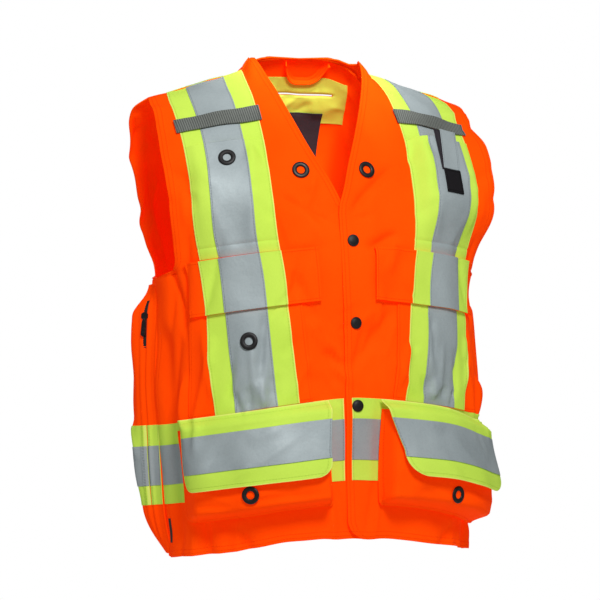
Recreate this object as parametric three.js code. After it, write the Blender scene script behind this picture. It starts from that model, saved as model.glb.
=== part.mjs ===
import * as THREE from "three";

// Main sizes, in mm
const TAPE_WIDTH = 101.6;
const SILVER_WIDTH = 50.8;
const SHOULDER_HEIGHT = 616;
const HALF_CHEST = 215;
const FRONT_DEPTH = 145;
const BACK_DEPTH = 112;
const SHOULDER_SLOPE = 0.31;
const SLOPE_SOFT = 30;
const SIDE_DIP = 31;
const DIP_POWER = 1.4;
const TAPE_LEAN = 32;
const COLLAR_RISE = 13;
const COLLAR_FOOT = 583;
const LEVEL_BELOW = { front: 60, back: 150 };

// Cloth thicknesses and clearances, in mm
const PANEL = 2;
const TAPE = 1;
const FLAP = 1.5;
const POCKET_CLOTH = 2.4;
const WEBBING = 1.5;
const GAP = 0.3;
const SEAM = 0.2;

// Positions across the pattern, in mm from the centre front or centre back
const TAPE_INNER = 66;
const TAPE_OUTER = TAPE_INNER + TAPE_WIDTH;
const TAPE_MIDDLE = TAPE_INNER + TAPE_WIDTH / 2;
const SILVER_INNER = TAPE_MIDDLE - SILVER_WIDTH / 2;
const SILVER_OUTER = TAPE_MIDDLE + SILVER_WIDTH / 2;
const FRONT_EDGE = 11;
const UNDER_EDGE = 18;
const NECK_HALF = 56;
const ARMHOLE = 197;
const POCKET_INNER = 34;
const POCKET_OUTER = 226;
const POCKET_WALL = 14;
const POCKET_CORNER = 8;
const FLAP_OVERHANG = 4;
const MID_POCKET_INNER = 50;
const MID_FLAP_INNER = { right: 32, left: 24 };
const MID_FLAP_OUTER = 190;
const MID_POCKET_FOOT = 204;
const SLIT_HALF = 40;
const FACING_HALF = 53;
const HEM_FLAP_INNER = { right: 43, left: 30 };
const FLAP_CORNER = { right: 20, left: 30 };
const FLAP_SLANT = { right: 0, left: 22 };
const STRAP_LEAN = 9;

// Heights along the cloth from the hem at the centre, in mm
const WAIST_TOP = 174;
const WAIST_BOTTOM = WAIST_TOP - TAPE_WIDTH;
const WAIST_SILVER_TOP = WAIST_TOP - (TAPE_WIDTH - SILVER_WIDTH) / 2;
const WAIST_SILVER_BOTTOM = WAIST_SILVER_TOP - SILVER_WIDTH;
const POCKET_BOTTOM = 42;
const POCKET_MOUTH = 162;
const FLAP_BOTTOM = 84;
const MID_FLAP_BOTTOM = 296;
const MID_FLAP_TOP = 362;
const MID_POCKET_TOP = 350;
const CHEST_SEAM = 376;
const CHEST_POCKET_BOTTOM = MID_FLAP_TOP + 0.6;
const CHEST_POCKET_TOP = 514;
const WEBBING_BOTTOM = 542;
const WEBBING_WIDTH = 25.4;
const WEBBING_TOP = WEBBING_BOTTOM + WEBBING_WIDTH;
const SLIT_BOTTOM = 588;
const SLIT_TOP = 594;
const FACING_BOTTOM = 551;
const FACING_TOP = 609;
const LABEL_SPAN = [-8, 33];
const LABEL_BOTTOM = 505;
const LABEL_TOP = 567;
const ARMPIT = 350;
const NECK_V = 413;
const POUCH_TOP = 345;
const POUCH_BOTTOM = 5;
const SNAP_SPACING = 102;
const SNAP_MIDDLE = 266;

// How far things stand off the cloth, in mm
const POCKET_DEPTH = 30;
const MOUTH_SHARE = 0.6;
const FLAP_FLARE = { right: 6, left: 9.6 };
const RADIO_DEPTH = 15;
const CHEST_PUFF = 3;
const POUCH_DEPTH = 20;
const HANG = { right: -2, left: 9 };
const WING_SWELL = 20;

// Small parts, in mm
const SNAP_SIZE = 15;
const SNAP_HEIGHT = 3;
const GROMMET_SIZE = 22;
const GROMMET_HOLE = 10;
const GROMMET_HEIGHT = 2.4;
const CELL_SAG = 1.2;
const STRAP_WIDTH = 25.4;
const PULL_LENGTH = 22;
const PULL_WIDTH = 6;
const PULL_THICK = 2;
const SLIDER_SIZE = 9;

// Body sections from the hem to the shoulder line: up is a share of SHOULDER_HEIGHT, wide of HALF_CHEST,
// front and edge of FRONT_DEPTH, back of BACK_DEPTH, turn in degrees, slope of SHOULDER_SLOPE, dip of SIDE_DIP,
// lean of TAPE_LEAN; late and backLate say how far round the section its bend comes
const COLUMNS = ["up", "wide", "front", "edge", "back", "late", "backLate", "turn", "slope", "dip", "lean"];
const SECTIONS = [
  [0.0, 0.92, 0.93, -0.06, 0.96, 1.45, 1.7, 90, 0.0, 0.66, -0.45],
  [0.11, 0.95, 0.96, -0.06, 0.96, 1.45, 1.7, 90, 0.0, 0.84, -0.3],
  [0.22, 0.975, 0.99, -0.06, 0.96, 1.45, 1.7, 90, 0.0, 0.92, -0.1],
  [0.33, 0.99, 1.01, -0.06, 0.96, 1.45, 1.7, 90, 0.0, 0.85, 0.12],
  [0.44, 0.98, 1.02, -0.06, 0.97, 1.5, 1.7, 90, 0.02, 0.75, 0.35],
  [0.54, 0.97, 1.02, -0.06, 0.99, 1.55, 1.7, 90, 0.05, 0.6, 0.55],
  [0.62, 1.05, 1.0, -0.06, 1.02, 1.55, 1.7, 84, 0.1, 0.4, 0.75],
  [0.7, 1.18, 0.95, -0.05, 1.03, 1.6, 1.8, 70, 0.17, 0.22, 0.9],
  [0.78, 1.26, 0.84, -0.03, 0.97, 1.6, 1.8, 52, 0.28, 0.08, 1.0],
  [0.855, 1.3, 0.66, 0.0, 0.82, 1.6, 1.8, 36, 0.42, 0.0, 1.0],
  [0.92, 1.32, 0.44, 0.02, 0.58, 1.6, 1.8, 24, 0.6, 0.0, 0.9],
  [0.97, 1.33, 0.2, 0.0, 0.36, 1.6, 1.8, 14, 0.83, 0.0, 0.75],
  [1.0, 1.33, 0.0, 0.0, 0.0, 1.6, 1.8, 6, 1.0, 0.0, 0.6],
];

// Folds of the cloth: hand is 1 for the wearer's left, from and to are shares of ARMHOLE across and of
// SHOULDER_HEIGHT up, wide and out are in mm, and out is negative for a valley
const FOLDS = [
  { side: "front", hand: -1, from: [1.26, 0.06], to: [1.24, 0.44], wide: 17, out: -9 },
  { side: "front", hand: 1, from: [1.26, 0.06], to: [1.24, 0.4], wide: 17, out: -5 },
  { side: "front", hand: 1, from: [1.02, 0.7], to: [1.08, 0.84], wide: 42, out: WING_SWELL },
  { side: "front", hand: 1, from: [0.26, 0.56], to: [0.1, 0.34], wide: 12, out: -3 },
  { side: "front", hand: -1, from: [0.18, 0.58], to: [0.12, 0.36], wide: 12, out: -3 },
];

// Edge of the armhole: up is a share of the panel's height, out of ARMHOLE
const ARMHOLE_FRONT = [
  { up: 1.0, out: 0.975 },
  { up: 0.905, out: 0.965 },
  { up: 0.83, out: 0.985 },
  { up: 0.75, out: 1.0 },
  { up: 0.68, out: 1.0 },
  { up: 0.62, out: 1.005 },
  { up: 0.57, out: 1.025 },
  { up: 0.54, out: 1.055 },
  { up: 0.52, out: 1.12 },
];
const ARMHOLE_BACK = [
  { up: 1.0, out: 0.975 },
  { up: 0.965, out: 1.03 },
  { up: 0.91, out: 1.055 },
  { up: 0.82, out: 1.035 },
  { up: 0.71, out: 0.995 },
  { up: 0.63, out: 0.985 },
  { up: 0.58, out: 1.01 },
  { up: 0.55, out: 1.12 },
];

// Edge of the neck, upwards: up is a share of the way from NECK_V to the shoulder line, in a share of NECK_HALF
const NECK_RIGHT = [
  { up: 0.0, in: 0.1 },
  { up: 0.25, in: 0.43 },
  { up: 0.52, in: 0.64 },
  { up: 0.82, in: 0.76 },
  { up: 1.0, in: 0.9 },
];
const NECK_LEFT = [
  { up: 0.0, in: -0.18 },
  { up: 0.21, in: 0.11 },
  { up: 0.43, in: 0.38 },
  { up: 0.75, in: 0.71 },
  { up: 1.0, in: 1.0 },
];
const NECK_BACK = [
  { down: 22, in: 0 },
  { down: 21, in: 0.5 },
  { down: 15, in: 0.85 },
  { down: 6, in: 1.02 },
];

// Small helpers
const mix = (a, b, k) => a + (b - a) * k;
const clamp = (v, low, high) => Math.min(high, Math.max(low, v));
const smooth = (k) => clamp(k, 0, 1) ** 2 * (3 - 2 * clamp(k, 0, 1));
const value = (thing, a, h) => (typeof thing === "function" ? thing(a, h) : thing);

// A column of the section table at row t, smooth between rows
function level(name, t) {
  const column = COLUMNS.indexOf(name);
  const last = SECTIONS.length - 1;
  const at = (i) => {
    if (i < 0) return 2 * SECTIONS[0][column] - SECTIONS[1][column];
    if (i > last) return 2 * SECTIONS[last][column] - SECTIONS[last - 1][column];
    return SECTIONS[i][column];
  };
  const i = Math.min(Math.floor(clamp(t, 0, last)), last - 1);
  const f = clamp(t, 0, last) - i;
  const [a, b, c, d] = [at(i - 1), at(i), at(i + 1), at(i + 2)];
  return 0.5 * (2 * b + (c - a) * f + (2 * a - 5 * b + 4 * c - d) * f ** 2 + (3 * b - a - 3 * c + d) * f ** 3);
}

// Lengths of cloth up the middle of the front and of the back
const STEPS = 480;
function track(column, depth) {
  const lengths = [0];
  for (let i = 1; i <= STEPS; i += 1) {
    const from = ((i - 1) * (SECTIONS.length - 1)) / STEPS;
    const to = (i * (SECTIONS.length - 1)) / STEPS;
    const rise = (level("up", to) - level("up", from)) * SHOULDER_HEIGHT;
    const run = (level(column, to) - level(column, from)) * depth;
    lengths.push(lengths[i - 1] + Math.hypot(rise, run));
  }
  return lengths;
}
const TRACKS = { front: track("front", FRONT_DEPTH), back: track("back", BACK_DEPTH) };
const TOPS = { front: TRACKS.front[STEPS], back: TRACKS.back[STEPS] };

function rowAt(side, h) {
  const lengths = TRACKS[side];
  let low = 0;
  let high = STEPS;
  while (high - low > 1) {
    const middle = (low + high) >> 1;
    if (lengths[middle] <= h) low = middle;
    else high = middle;
  }
  const f = clamp((h - lengths[low]) / (lengths[high] - lengths[low]), 0, 1);
  return ((low + f) * (SECTIONS.length - 1)) / STEPS;
}

// Gauss points for lengths round a section
const GAUSS = [
  [0.04691008, 0.11846344],
  [0.23076534, 0.23931434],
  [0.5, 0.28444444],
  [0.76923466, 0.23931434],
  [0.95308992, 0.11846344],
];

function swept(u, turn, late) {
  let x = 0;
  let y = 0;
  for (const half of [0, 1]) {
    for (const [g, w] of GAUSS) {
      const heading = turn * (u * (g + half) * 0.5) ** late;
      x += w * 0.5 * Math.cos(heading);
      y += w * 0.5 * Math.sin(heading);
    }
  }
  return [x * u, y * u];
}

// Everything that holds at one height of one side, kept once worked out
const slices = new Map();
function slice(side, h) {
  const key = `${side} ${h.toFixed(3)}`;
  if (slices.has(key)) return slices.get(key);
  const t = rowAt(side, h);
  const turn = (level("turn", t) * Math.PI) / 180;
  const late = level(side === "front" ? "late" : "backLate", t);
  const wide = level("wide", t) * HALF_CHEST;
  const edge = level("edge", t) * FRONT_DEPTH;
  const middle = side === "front" ? -level("front", t) * FRONT_DEPTH : level("back", t) * BACK_DEPTH;
  const [x1, y1] = swept(1, turn, late);
  const alongX = wide / x1;
  const alongY = (edge - middle) / y1;
  let length = 0;
  for (const half of [0, 1]) {
    for (const [g, w] of GAUSS) {
      const heading = turn * ((g + half) * 0.5) ** late;
      length += w * 0.5 * Math.hypot(Math.cos(heading) * alongX, Math.sin(heading) * alongY);
    }
  }
  const found = {
    turn,
    late,
    middle,
    alongX,
    alongY,
    length,
    up: level("up", t) * SHOULDER_HEIGHT,
    slope: level("slope", t) * SHOULDER_SLOPE,
    dip: level("dip", t) * SIDE_DIP,
    lean: level("lean", t) * TAPE_LEAN,
  };
  slices.set(key, found);
  return found;
}

// Where the pattern meets the side seam, across
const seamAt = (side, h) => slice(side, h).length - slice(side, h).lean;

// The bare body at a across and h up the pattern
function body(side, a, h) {
  const { turn, late, middle, alongX, alongY, length, up, slope, dip, lean } = slice(side, h);
  const s = Math.abs(a) + smooth(Math.abs(a) / (TAPE_INNER - 4)) * lean;
  const [x, y] = swept(s / length, turn, late);
  const out = x * alongX;
  const soft = Math.hypot(out, SLOPE_SOFT) - SLOPE_SOFT;
  const collar = side === "back" ? (1 - smooth((Math.abs(a) - 30) / 26)) * smooth((h - COLLAR_FOOT) / 45) : 0;
  const besideNeck = 1 - smooth((Math.abs(a) - NECK_HALF + 2) / (TAPE_INNER - NECK_HALF + 2));
  const flat = besideNeck * smooth((LEVEL_BELOW[side] - TOPS[side] + h) / 60);
  const z = up - slope * soft * (1 - flat) - dip * (out / HALF_CHEST) ** DIP_POWER + collar * COLLAR_RISE;
  return new THREE.Vector3(Math.sign(a) * out, middle + y * alongY, z);
}

function facing(side, a, h) {
  const step = 0.8;
  const low = Math.max(h - step, 0);
  const high = Math.min(h + step, TOPS[side]);
  const across = body(side, a + step, h).sub(body(side, a - step, h));
  const up = body(side, a, high).sub(body(side, a, low));
  const normal = across.cross(up).normalize();
  return side === "front" ? normal : normal.negate();
}

// Outward direction; at the shoulder line the front and the back share one
function outward(side, a, h) {
  const own = facing(side, a, h);
  const near = smooth(1 - (TOPS[side] - h) / 14);
  if (near <= 0) return own;
  const other = side === "front" ? "back" : "front";
  const shared = facing(side, a, TOPS[side]).add(facing(other, a, TOPS[other])).normalize();
  return own.lerp(shared, near).normalize();
}

function foldAt(side, a, h) {
  let out = 0;
  for (const fold of FOLDS) {
    if (fold.side !== side || fold.hand * a < 0) continue;
    const [ax, ay] = [fold.from[0] * ARMHOLE, fold.from[1] * SHOULDER_HEIGHT];
    const [bx, by] = [fold.to[0] * ARMHOLE, fold.to[1] * SHOULDER_HEIGHT];
    const [runX, runY] = [bx - ax, by - ay];
    const share = ((Math.abs(a) - ax) * runX + (h - ay) * runY) / (runX ** 2 + runY ** 2);
    const along = clamp(share, 0, 1);
    const away = Math.hypot(Math.abs(a) - ax - along * runX, h - ay - along * runY);
    out += fold.out * Math.exp(-((away / fold.wide) ** 2));
  }
  return out;
}

// The left front rises over the right front where they cross
const crossing = (side, hand, a) => {
  if (side !== "front" || hand < 0) return 0;
  return (PANEL + GAP + 0.1) * (1 - smooth((a - UNDER_EDGE - 2) / (POCKET_INNER - UNDER_EDGE - 2)));
};

// A point of the cloth at d outside its skin
function cloth(side, hand) {
  return (a, h, d) => {
    const rise = foldAt(side, a, h) + crossing(side, hand, a) + d;
    return body(side, a, h).addScaledVector(outward(side, a, h), rise);
  };
}

// Lines shared by every layer, so that layers lie parallel
const ACROSS = [
  0, UNDER_EDGE, POCKET_INNER, MID_POCKET_INNER, TAPE_INNER, SILVER_INNER, TAPE_MIDDLE, SILVER_OUTER, TAPE_OUTER,
  184, ARMHOLE, 212, POCKET_OUTER, 240, 256,
];
const UP = [
  18, POCKET_BOTTOM, WAIST_BOTTOM, WAIST_SILVER_BOTTOM, WAIST_SILVER_TOP, WAIST_TOP, 234, MID_FLAP_BOTTOM,
  MID_POCKET_TOP, MID_FLAP_TOP, CHEST_SEAM, 420, 466, CHEST_POCKET_TOP, WEBBING_BOTTOM, WEBBING_TOP, SLIT_BOTTOM,
  SLIT_TOP, FACING_TOP, 636, 650,
];
const BACK_ACROSS = [
  0, 23, SLIT_HALF, FACING_HALF, TAPE_INNER, SILVER_INNER, TAPE_MIDDLE, SILVER_OUTER, TAPE_OUTER, ARMHOLE,
  POCKET_OUTER, 248,
];
const isWebbing = (h) => h === WEBBING_BOTTOM || h === WEBBING_TOP;
const BACK_UP = [
  60, 120, WAIST_TOP, 236, MID_FLAP_BOTTOM, POUCH_TOP - 20, FACING_BOTTOM,
  ...UP.filter((h) => h > MID_FLAP_BOTTOM && !isWebbing(h)),
];

function area(points) {
  let sum = 0;
  points.forEach(([x, y], i) => {
    const [nx, ny] = points[(i + 1) % points.length];
    sum += x * ny - nx * y;
  });
  return sum / 2;
}

function cut(points, inside, cross) {
  const kept = [];
  points.forEach((point, i) => {
    const next = points[(i + 1) % points.length];
    if (inside(point)) kept.push(point);
    if (inside(point) !== inside(next)) kept.push(cross(point, next));
  });
  return kept;
}

function cellOf(outline, left, right, low, high) {
  const acrossAt = (x) => (p, q) => [x, mix(p[1], q[1], (x - p[0]) / (q[0] - p[0]))];
  const upAt = (y) => (p, q) => [mix(p[0], q[0], (y - p[1]) / (q[1] - p[1])), y];
  let points = outline;
  points = cut(points, (p) => p[0] >= left, acrossAt(left));
  points = cut(points, (p) => p[0] <= right, acrossAt(right));
  points = cut(points, (p) => p[1] >= low, upAt(low));
  points = cut(points, (p) => p[1] <= high, upAt(high));
  return points;
}

// Lines of a list that fall inside an outline, with its ends
function between(lines, low, high) {
  const inner = lines.filter((v) => v > low + 2 && v < high - 2);
  return [low, ...inner, high].sort((p, q) => p - q);
}

// A cell's ring with every corner of its neighbours that lies on its edges
function withNeighbours(ring, corners) {
  return ring.flatMap((n, k) => {
    const [p, q] = [corners[n], corners[ring[(k + 1) % ring.length]]];
    const [dx, dy] = [q[0] - p[0], q[1] - p[1]];
    const length = Math.hypot(dx, dy);
    const found = [];
    corners.forEach(([x, y], m) => {
      const along = ((x - p[0]) * dx + (y - p[1]) * dy) / length;
      const off = Math.abs((x - p[0]) * dy - (y - p[1]) * dx) / length;
      if (off < 0.003 && along > 0.003 && along < length - 0.003) found.push([along, m]);
    });
    return [n, ...found.sort((v, w) => v[0] - w[0]).map((v) => v[1])];
  });
}

const isBox = ([p, q, r, t]) => p[1] === q[1] && q[0] === r[0] && r[1] === t[1] && t[0] === p[0];

// Triangles of a ring, cut off one corner at a time, always the best-shaped one
function clipped(ring, corners) {
  const left = [...ring];
  const triangles = [];
  const twice = (p, q, r) => (q[0] - p[0]) * (r[1] - p[1]) - (q[1] - p[1]) * (r[0] - p[0]);
  while (left.length > 3) {
    let best = -1;
    let bestShape = 1e-5;
    left.forEach((n, k) => {
      const ends = [left[(k + left.length - 1) % left.length], n, left[(k + 1) % left.length]];
      const [p, q, r] = ends.map((m) => corners[m]);
      const longest = Math.max(Math.hypot(q[0] - p[0], q[1] - p[1]), Math.hypot(r[0] - q[0], r[1] - q[1]));
      const shape = twice(p, q, r) / Math.max(longest, Math.hypot(r[0] - p[0], r[1] - p[1])) ** 2;
      if (shape <= bestShape * 1.001) return;
      const blocked = left.some((m) => {
        if (ends.includes(m)) return false;
        const c = corners[m];
        return twice(p, q, c) > -1e-6 && twice(q, r, c) > -1e-6 && twice(r, p, c) > -1e-6;
      });
      if (blocked) return;
      best = k;
      bestShape = shape;
    });
    if (best < 0) break;
    const count = left.length;
    triangles.push([left[(best + count - 1) % count], left[best], left[(best + 1) % count]]);
    left.splice(best, 1);
  }
  if (left.length === 3) triangles.push(left);
  return triangles;
}

// A closed sheet of cloth: a flat outline cut into cells, draped and given a thickness
function sheet({ side = "front", hand = 1, outline, across = ACROSS, up = UP, low, high, at, skip }) {
  const points = outline.map(([a, h]) => [a * hand, h]);
  if (area(points) < 0) points.reverse();
  const [lefts, heights] = [points.map((p) => p[0]), points.map((p) => p[1])];
  const mirrored = [...new Set(across.flatMap((v) => [v, -v]))];
  const columns = between(mirrored, Math.min(...lefts), Math.max(...lefts));
  const rows = between(up, Math.min(...heights), Math.max(...heights));
  const corners = [];
  const numbers = new Map();
  const triangles = [];
  const number = ([a, h]) => {
    const key = `${Math.round(a * 1000)} ${Math.round(h * 1000)}`;
    if (!numbers.has(key)) {
      numbers.set(key, corners.length);
      corners.push([a, h]);
    }
    return numbers.get(key);
  };
  const rings = [];
  for (let i = 0; i + 1 < columns.length; i += 1) {
    for (let j = 0; j + 1 < rows.length; j += 1) {
      if (skip && skip((columns[i] + columns[i + 1]) / 2, (rows[j] + rows[j + 1]) / 2)) continue;
      const found = cellOf(points, columns[i], columns[i + 1], rows[j], rows[j + 1]).map(number);
      const ring = found.filter((n, k) => n !== found[(k + 1) % found.length]);
      if (ring.length < 3 || Math.abs(area(ring.map((n) => corners[n]))) < 0.02) continue;
      rings.push(ring);
    }
  }
  rings.forEach((ring) => {
    const full = withNeighbours(ring, corners);
    const sums = full.map((n) => corners[n][0] + corners[n][1]);
    const first = sums.indexOf(Math.min(...sums));
    const [p, q, r, t] = [0, 1, 2, 3].map((k) => full[(first + k) % full.length]);
    if (full.length === 4 && isBox([p, q, r, t].map((n) => corners[n]))) triangles.push([p, q, r], [p, r, t]);
    else triangles.push(...clipped(full, corners));
  });
  return thicken(corners, triangles, side, low, high, at ?? cloth(side, hand));
}

function thicken(corners, triangles, side, low, high, at) {
  const count = corners.length;
  const positions = [];
  for (const depth of [high, low]) {
    corners.forEach(([a, h]) => positions.push(...at(a, h, value(depth, a, h)).toArray()));
  }
  const edges = new Map();
  const solid = [];
  triangles.forEach(([p, q, r]) => {
    solid.push([p, q, r], [r + count, q + count, p + count]);
    [[p, q], [q, r], [r, p]].forEach(([m, n]) => edges.set(`${m} ${n}`, [m, n]));
  });
  edges.forEach(([m, n]) => {
    if (edges.has(`${n} ${m}`)) return;
    solid.push([n, m, m + count], [n, m + count, n + count]);
  });
  const geometry = new THREE.BufferGeometry();
  geometry.setAttribute("position", new THREE.Float32BufferAttribute(positions, 3));
  geometry.setIndex(solid.flatMap((t) => (side === "front" ? t : [t[2], t[1], t[0]])));
  return geometry;
}

// A straight-sided outline, and one with rounded lower corners
const box = (left, right, low, high) => [[left, low], [right, low], [right, high], [left, high]];
function rounded(left, right, low, high, radius, slant = 0) {
  const points = [[right, high], [left, high]];
  const turns = [0, 30, 60, 90];
  turns.forEach((degrees) => {
    const angle = (degrees * Math.PI) / 180;
    points.push([left + slant + radius * (1 - Math.cos(angle)), low + radius * (1 - Math.sin(angle))]);
  });
  [...turns].reverse().forEach((degrees) => {
    const angle = (degrees * Math.PI) / 180;
    points.push([right - radius * (1 - Math.cos(angle)), low + radius * (1 - Math.sin(angle))]);
  });
  return points;
}

// A layer of cloth that starts so far outside the skin
const layer = (from, thick) => ({ low: from, high: from + thick });

// Edges of the panels
function sideSeam(side, top) {
  const heights = [0, ...(side === "front" ? UP : BACK_UP).filter((h) => h < top - 4), top];
  return heights.map((h) => [seamAt(side, h) - SEAM, h]);
}
const armhole = (side, rows) => rows.map((row) => [row.out * ARMHOLE, row.up * (TOPS[side] - SEAM)]);
function neckEdge(rows) {
  return rows.map((row) => [row.in * NECK_HALF, mix(NECK_V, TOPS.front - SEAM, row.up)]);
}

// A turned part with its axis along z, from rows of radius and height
function turned(profile, sides) {
  const positions = [];
  const faces = [];
  for (let i = 0; i < sides; i += 1) {
    const angle = (i * 2 * Math.PI) / sides;
    profile.forEach(([r, z]) => positions.push(r * Math.cos(angle), r * Math.sin(angle), z));
  }
  const n = profile.length;
  for (let i = 0; i < sides; i += 1) {
    const next = (i + 1) % sides;
    for (let k = 0; k < n; k += 1) {
      const m = (k + 1) % n;
      faces.push(i * n + k, next * n + k, next * n + m, i * n + k, next * n + m, i * n + m);
    }
  }
  const geometry = new THREE.BufferGeometry();
  geometry.setAttribute("position", new THREE.Float32BufferAttribute(positions, 3));
  geometry.setIndex(faces);
  return geometry;
}

// A filled disc with a domed top
function cap(radius, height, sides) {
  const rings = [[radius, 0], [radius, height * 0.45], [radius * 0.8, height * 0.85]];
  const positions = [0, 0, 0, 0, 0, height];
  for (let i = 0; i < sides; i += 1) {
    const angle = (i * 2 * Math.PI) / sides;
    rings.forEach(([r, z]) => positions.push(r * Math.cos(angle), r * Math.sin(angle), z));
  }
  const faces = [];
  for (let i = 0; i < sides; i += 1) {
    const [p, q] = [2 + i * 3, 2 + ((i + 1) % sides) * 3];
    faces.push(0, q, p, p, q, q + 1, p, q + 1, p + 1);
    faces.push(p + 1, q + 1, q + 2, p + 1, q + 2, p + 2, 1, p + 2, q + 2);
  }
  const geometry = new THREE.BufferGeometry();
  geometry.setAttribute("position", new THREE.Float32BufferAttribute(positions, 3));
  geometry.setIndex(faces);
  return geometry;
}

// Sets a part made along z on the cloth at a and h, standing d outside it
function seated(geometry, at, a, h, d, step = 3) {
  const centre = at(a, h, d);
  const across = at(a + step, h, d).sub(at(a - step, h, d)).normalize();
  const up = at(a, h + 3, d).sub(at(a, h - 3, d)).normalize();
  const out = across.clone().cross(up).normalize();
  const level = out.clone().cross(across);
  const frame = new THREE.Matrix4().makeBasis(across, level, out).setPosition(centre);
  return geometry.applyMatrix4(frame);
}

// Colours and surfaces
const material = (colour, roughness, metalness = 0) =>
  new THREE.MeshStandardMaterial({ color: colour, roughness, metalness });
const ORANGE = material("#ff5a08", 0.85);
const ORANGE_INSIDE = material("#e2430a", 0.85);
const LIME = material("#c8e850", 0.7);
const SILVER = material("#aab4b8", 0.35, 0.3);
const GREY = material("#6f7169", 0.8);
const BLACK = material("#26262a", 0.4);
const DARK_CLOTH = material("#1c1d20", 0.9);

const vest = new THREE.Group();
const ORIGIN = new THREE.Vector3(0, 0, SHOULDER_HEIGHT);
function add(name, geometry, surface) {
  geometry.translate(-ORIGIN.x, -ORIGIN.y, -ORIGIN.z);
  geometry.computeVertexNormals();
  const mesh = new THREE.Mesh(geometry, surface);
  mesh.name = name;
  vest.add(mesh);
}
const HANDS = [["right", -1], ["left", 1]];

// Panels
const isSlit = (a, h) => Math.abs(a) < SLIT_HALF && h > SLIT_BOTTOM && h < SLIT_TOP;
const onBack = { side: "back", across: BACK_ACROSS, up: BACK_UP };
const halfBack = [...sideSeam("back", ARMPIT), ...armhole("back", ARMHOLE_BACK).reverse()];
const backNeck = NECK_BACK.map((row) => [row.in * NECK_HALF, TOPS.back - row.down]);
const backRim = [[NECK_HALF, TOPS.back - SEAM], ...[...backNeck].reverse()];
const rightHalf = [...halfBack, ...backRim];
const leftHalf = rightHalf.slice(0, -1).map(([a, h]) => [-a, h]).reverse();
add("back_panel", sheet({
  ...onBack, outline: [...rightHalf, ...leftHalf], low: -PANEL, high: 0, skip: isSlit,
}), ORANGE);

const frontHalf = [...sideSeam("front", ARMPIT), ...armhole("front", ARMHOLE_FRONT).reverse()];
const NECK_CORNER = NECK_V - 18;
add("front_panel_right", sheet({
  hand: -1, low: -PANEL, high: 0,
  outline: [[-UNDER_EDGE, 0], ...frontHalf, ...neckEdge(NECK_RIGHT).reverse(), [-UNDER_EDGE, NECK_CORNER]],
}), ORANGE);
add("front_panel_left", sheet({
  low: -PANEL, high: 0,
  outline: [[10, 0], ...frontHalf, ...neckEdge(NECK_LEFT).reverse(), [-FRONT_EDGE, 22], [-4, 7]],
}), ORANGE);

// Inside the back of the neck
const inside = (layer) => ({ low: -PANEL - (GAP + TAPE) * layer, high: -PANEL - (GAP + TAPE) * layer + TAPE });
add("slit_facing", sheet({
  ...onBack, outline: box(-FACING_HALF, FACING_HALF, FACING_BOTTOM, FACING_TOP),
  skip: isSlit, ...inside(1),
}), LIME);
add("neck_label", sheet({
  ...onBack, outline: box(...LABEL_SPAN, LABEL_BOTTOM, LABEL_TOP), ...inside(2),
}), DARK_CLOTH);
const LOOP_TOP = TOPS.back - 27;
const LOOP_BOTTOM = FACING_TOP - 5;
const LOOP_MIDDLE = 9;
const LOOP_IN = PANEL + 2 * TAPE + 6 * GAP;
const loopHalf = [
  [0, LOOP_BOTTOM], [12, LOOP_BOTTOM + 2], [25, LOOP_TOP], [16, LOOP_TOP], [8, LOOP_BOTTOM + 9],
];
const loopRound = [
  ...loopHalf, [0, LOOP_BOTTOM + 8], ...loopHalf.slice(1).reverse().map(([a, h]) => [-a, h]),
];
const loopOutline = loopRound.map(([a, h]) => [a + LOOP_MIDDLE, h]);
add("hanging_loop", sheet({ ...onBack, outline: loopOutline, ...layer(-LOOP_IN, TAPE) }), ORANGE_INSIDE);

// Chest tapes over the shoulder, with the webbing loop
const LIME_ON_CLOTH = layer(GAP, TAPE);
const SILVER_ON_LIME = layer(2 * GAP + TAPE, TAPE);
const WEB_ON_SILVER = layer(3 * GAP + 2 * TAPE, WEBBING);
HANDS.forEach(([hand, sign]) => {
  const top = TOPS.front - SEAM;
  add(`shoulder_tape_${hand}`, sheet({
    hand: sign, outline: box(TAPE_INNER, TAPE_OUTER, CHEST_POCKET_TOP + GAP, top), ...LIME_ON_CLOTH,
  }), LIME);
  add(`shoulder_silver_${hand}`, sheet({
    hand: sign, outline: box(SILVER_INNER, SILVER_OUTER, CHEST_POCKET_TOP + GAP, top), ...SILVER_ON_LIME,
  }), SILVER);
  add(`webbing_loop_${hand}`, sheet({
    hand: sign, outline: box(TAPE_INNER - 3, TAPE_OUTER + 4, WEBBING_BOTTOM, WEBBING_TOP), ...WEB_ON_SILVER,
  }), GREY);
});

// Chest pockets faced with tape: flat on the right, deep for a radio on the left
const puffShape = (a, h) => {
  const across = clamp((Math.abs(a) - TAPE_INNER) / TAPE_WIDTH, 0, 1);
  const up = clamp((h - CHEST_SEAM) / (CHEST_POCKET_TOP - CHEST_SEAM), 0, 1);
  return smooth(across * 5) * smooth((1 - across) * 7) * smooth(up * 2.2);
};
const puff = {
  right: (a, h) => GAP + CHEST_PUFF * puffShape(a, h),
  left: (a, h) => GAP + RADIO_DEPTH * puffShape(a, h),
};
HANDS.forEach(([hand, sign]) => {
  const pocket = puff[hand];
  add(`chest_pocket_${hand}`, sheet({
    hand: sign, outline: box(TAPE_INNER, TAPE_OUTER, CHEST_POCKET_BOTTOM, CHEST_POCKET_TOP),
    low: pocket, high: (a, h) => pocket(a, h) + FLAP,
  }), LIME);
  add(`chest_silver_${hand}`, sheet({
    hand: sign, outline: box(SILVER_INNER, SILVER_OUTER, CHEST_POCKET_BOTTOM, CHEST_POCKET_TOP),
    low: (a, h) => pocket(a, h) + FLAP + GAP, high: (a, h) => pocket(a, h) + FLAP + GAP + TAPE,
  }), SILVER);
});

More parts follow.
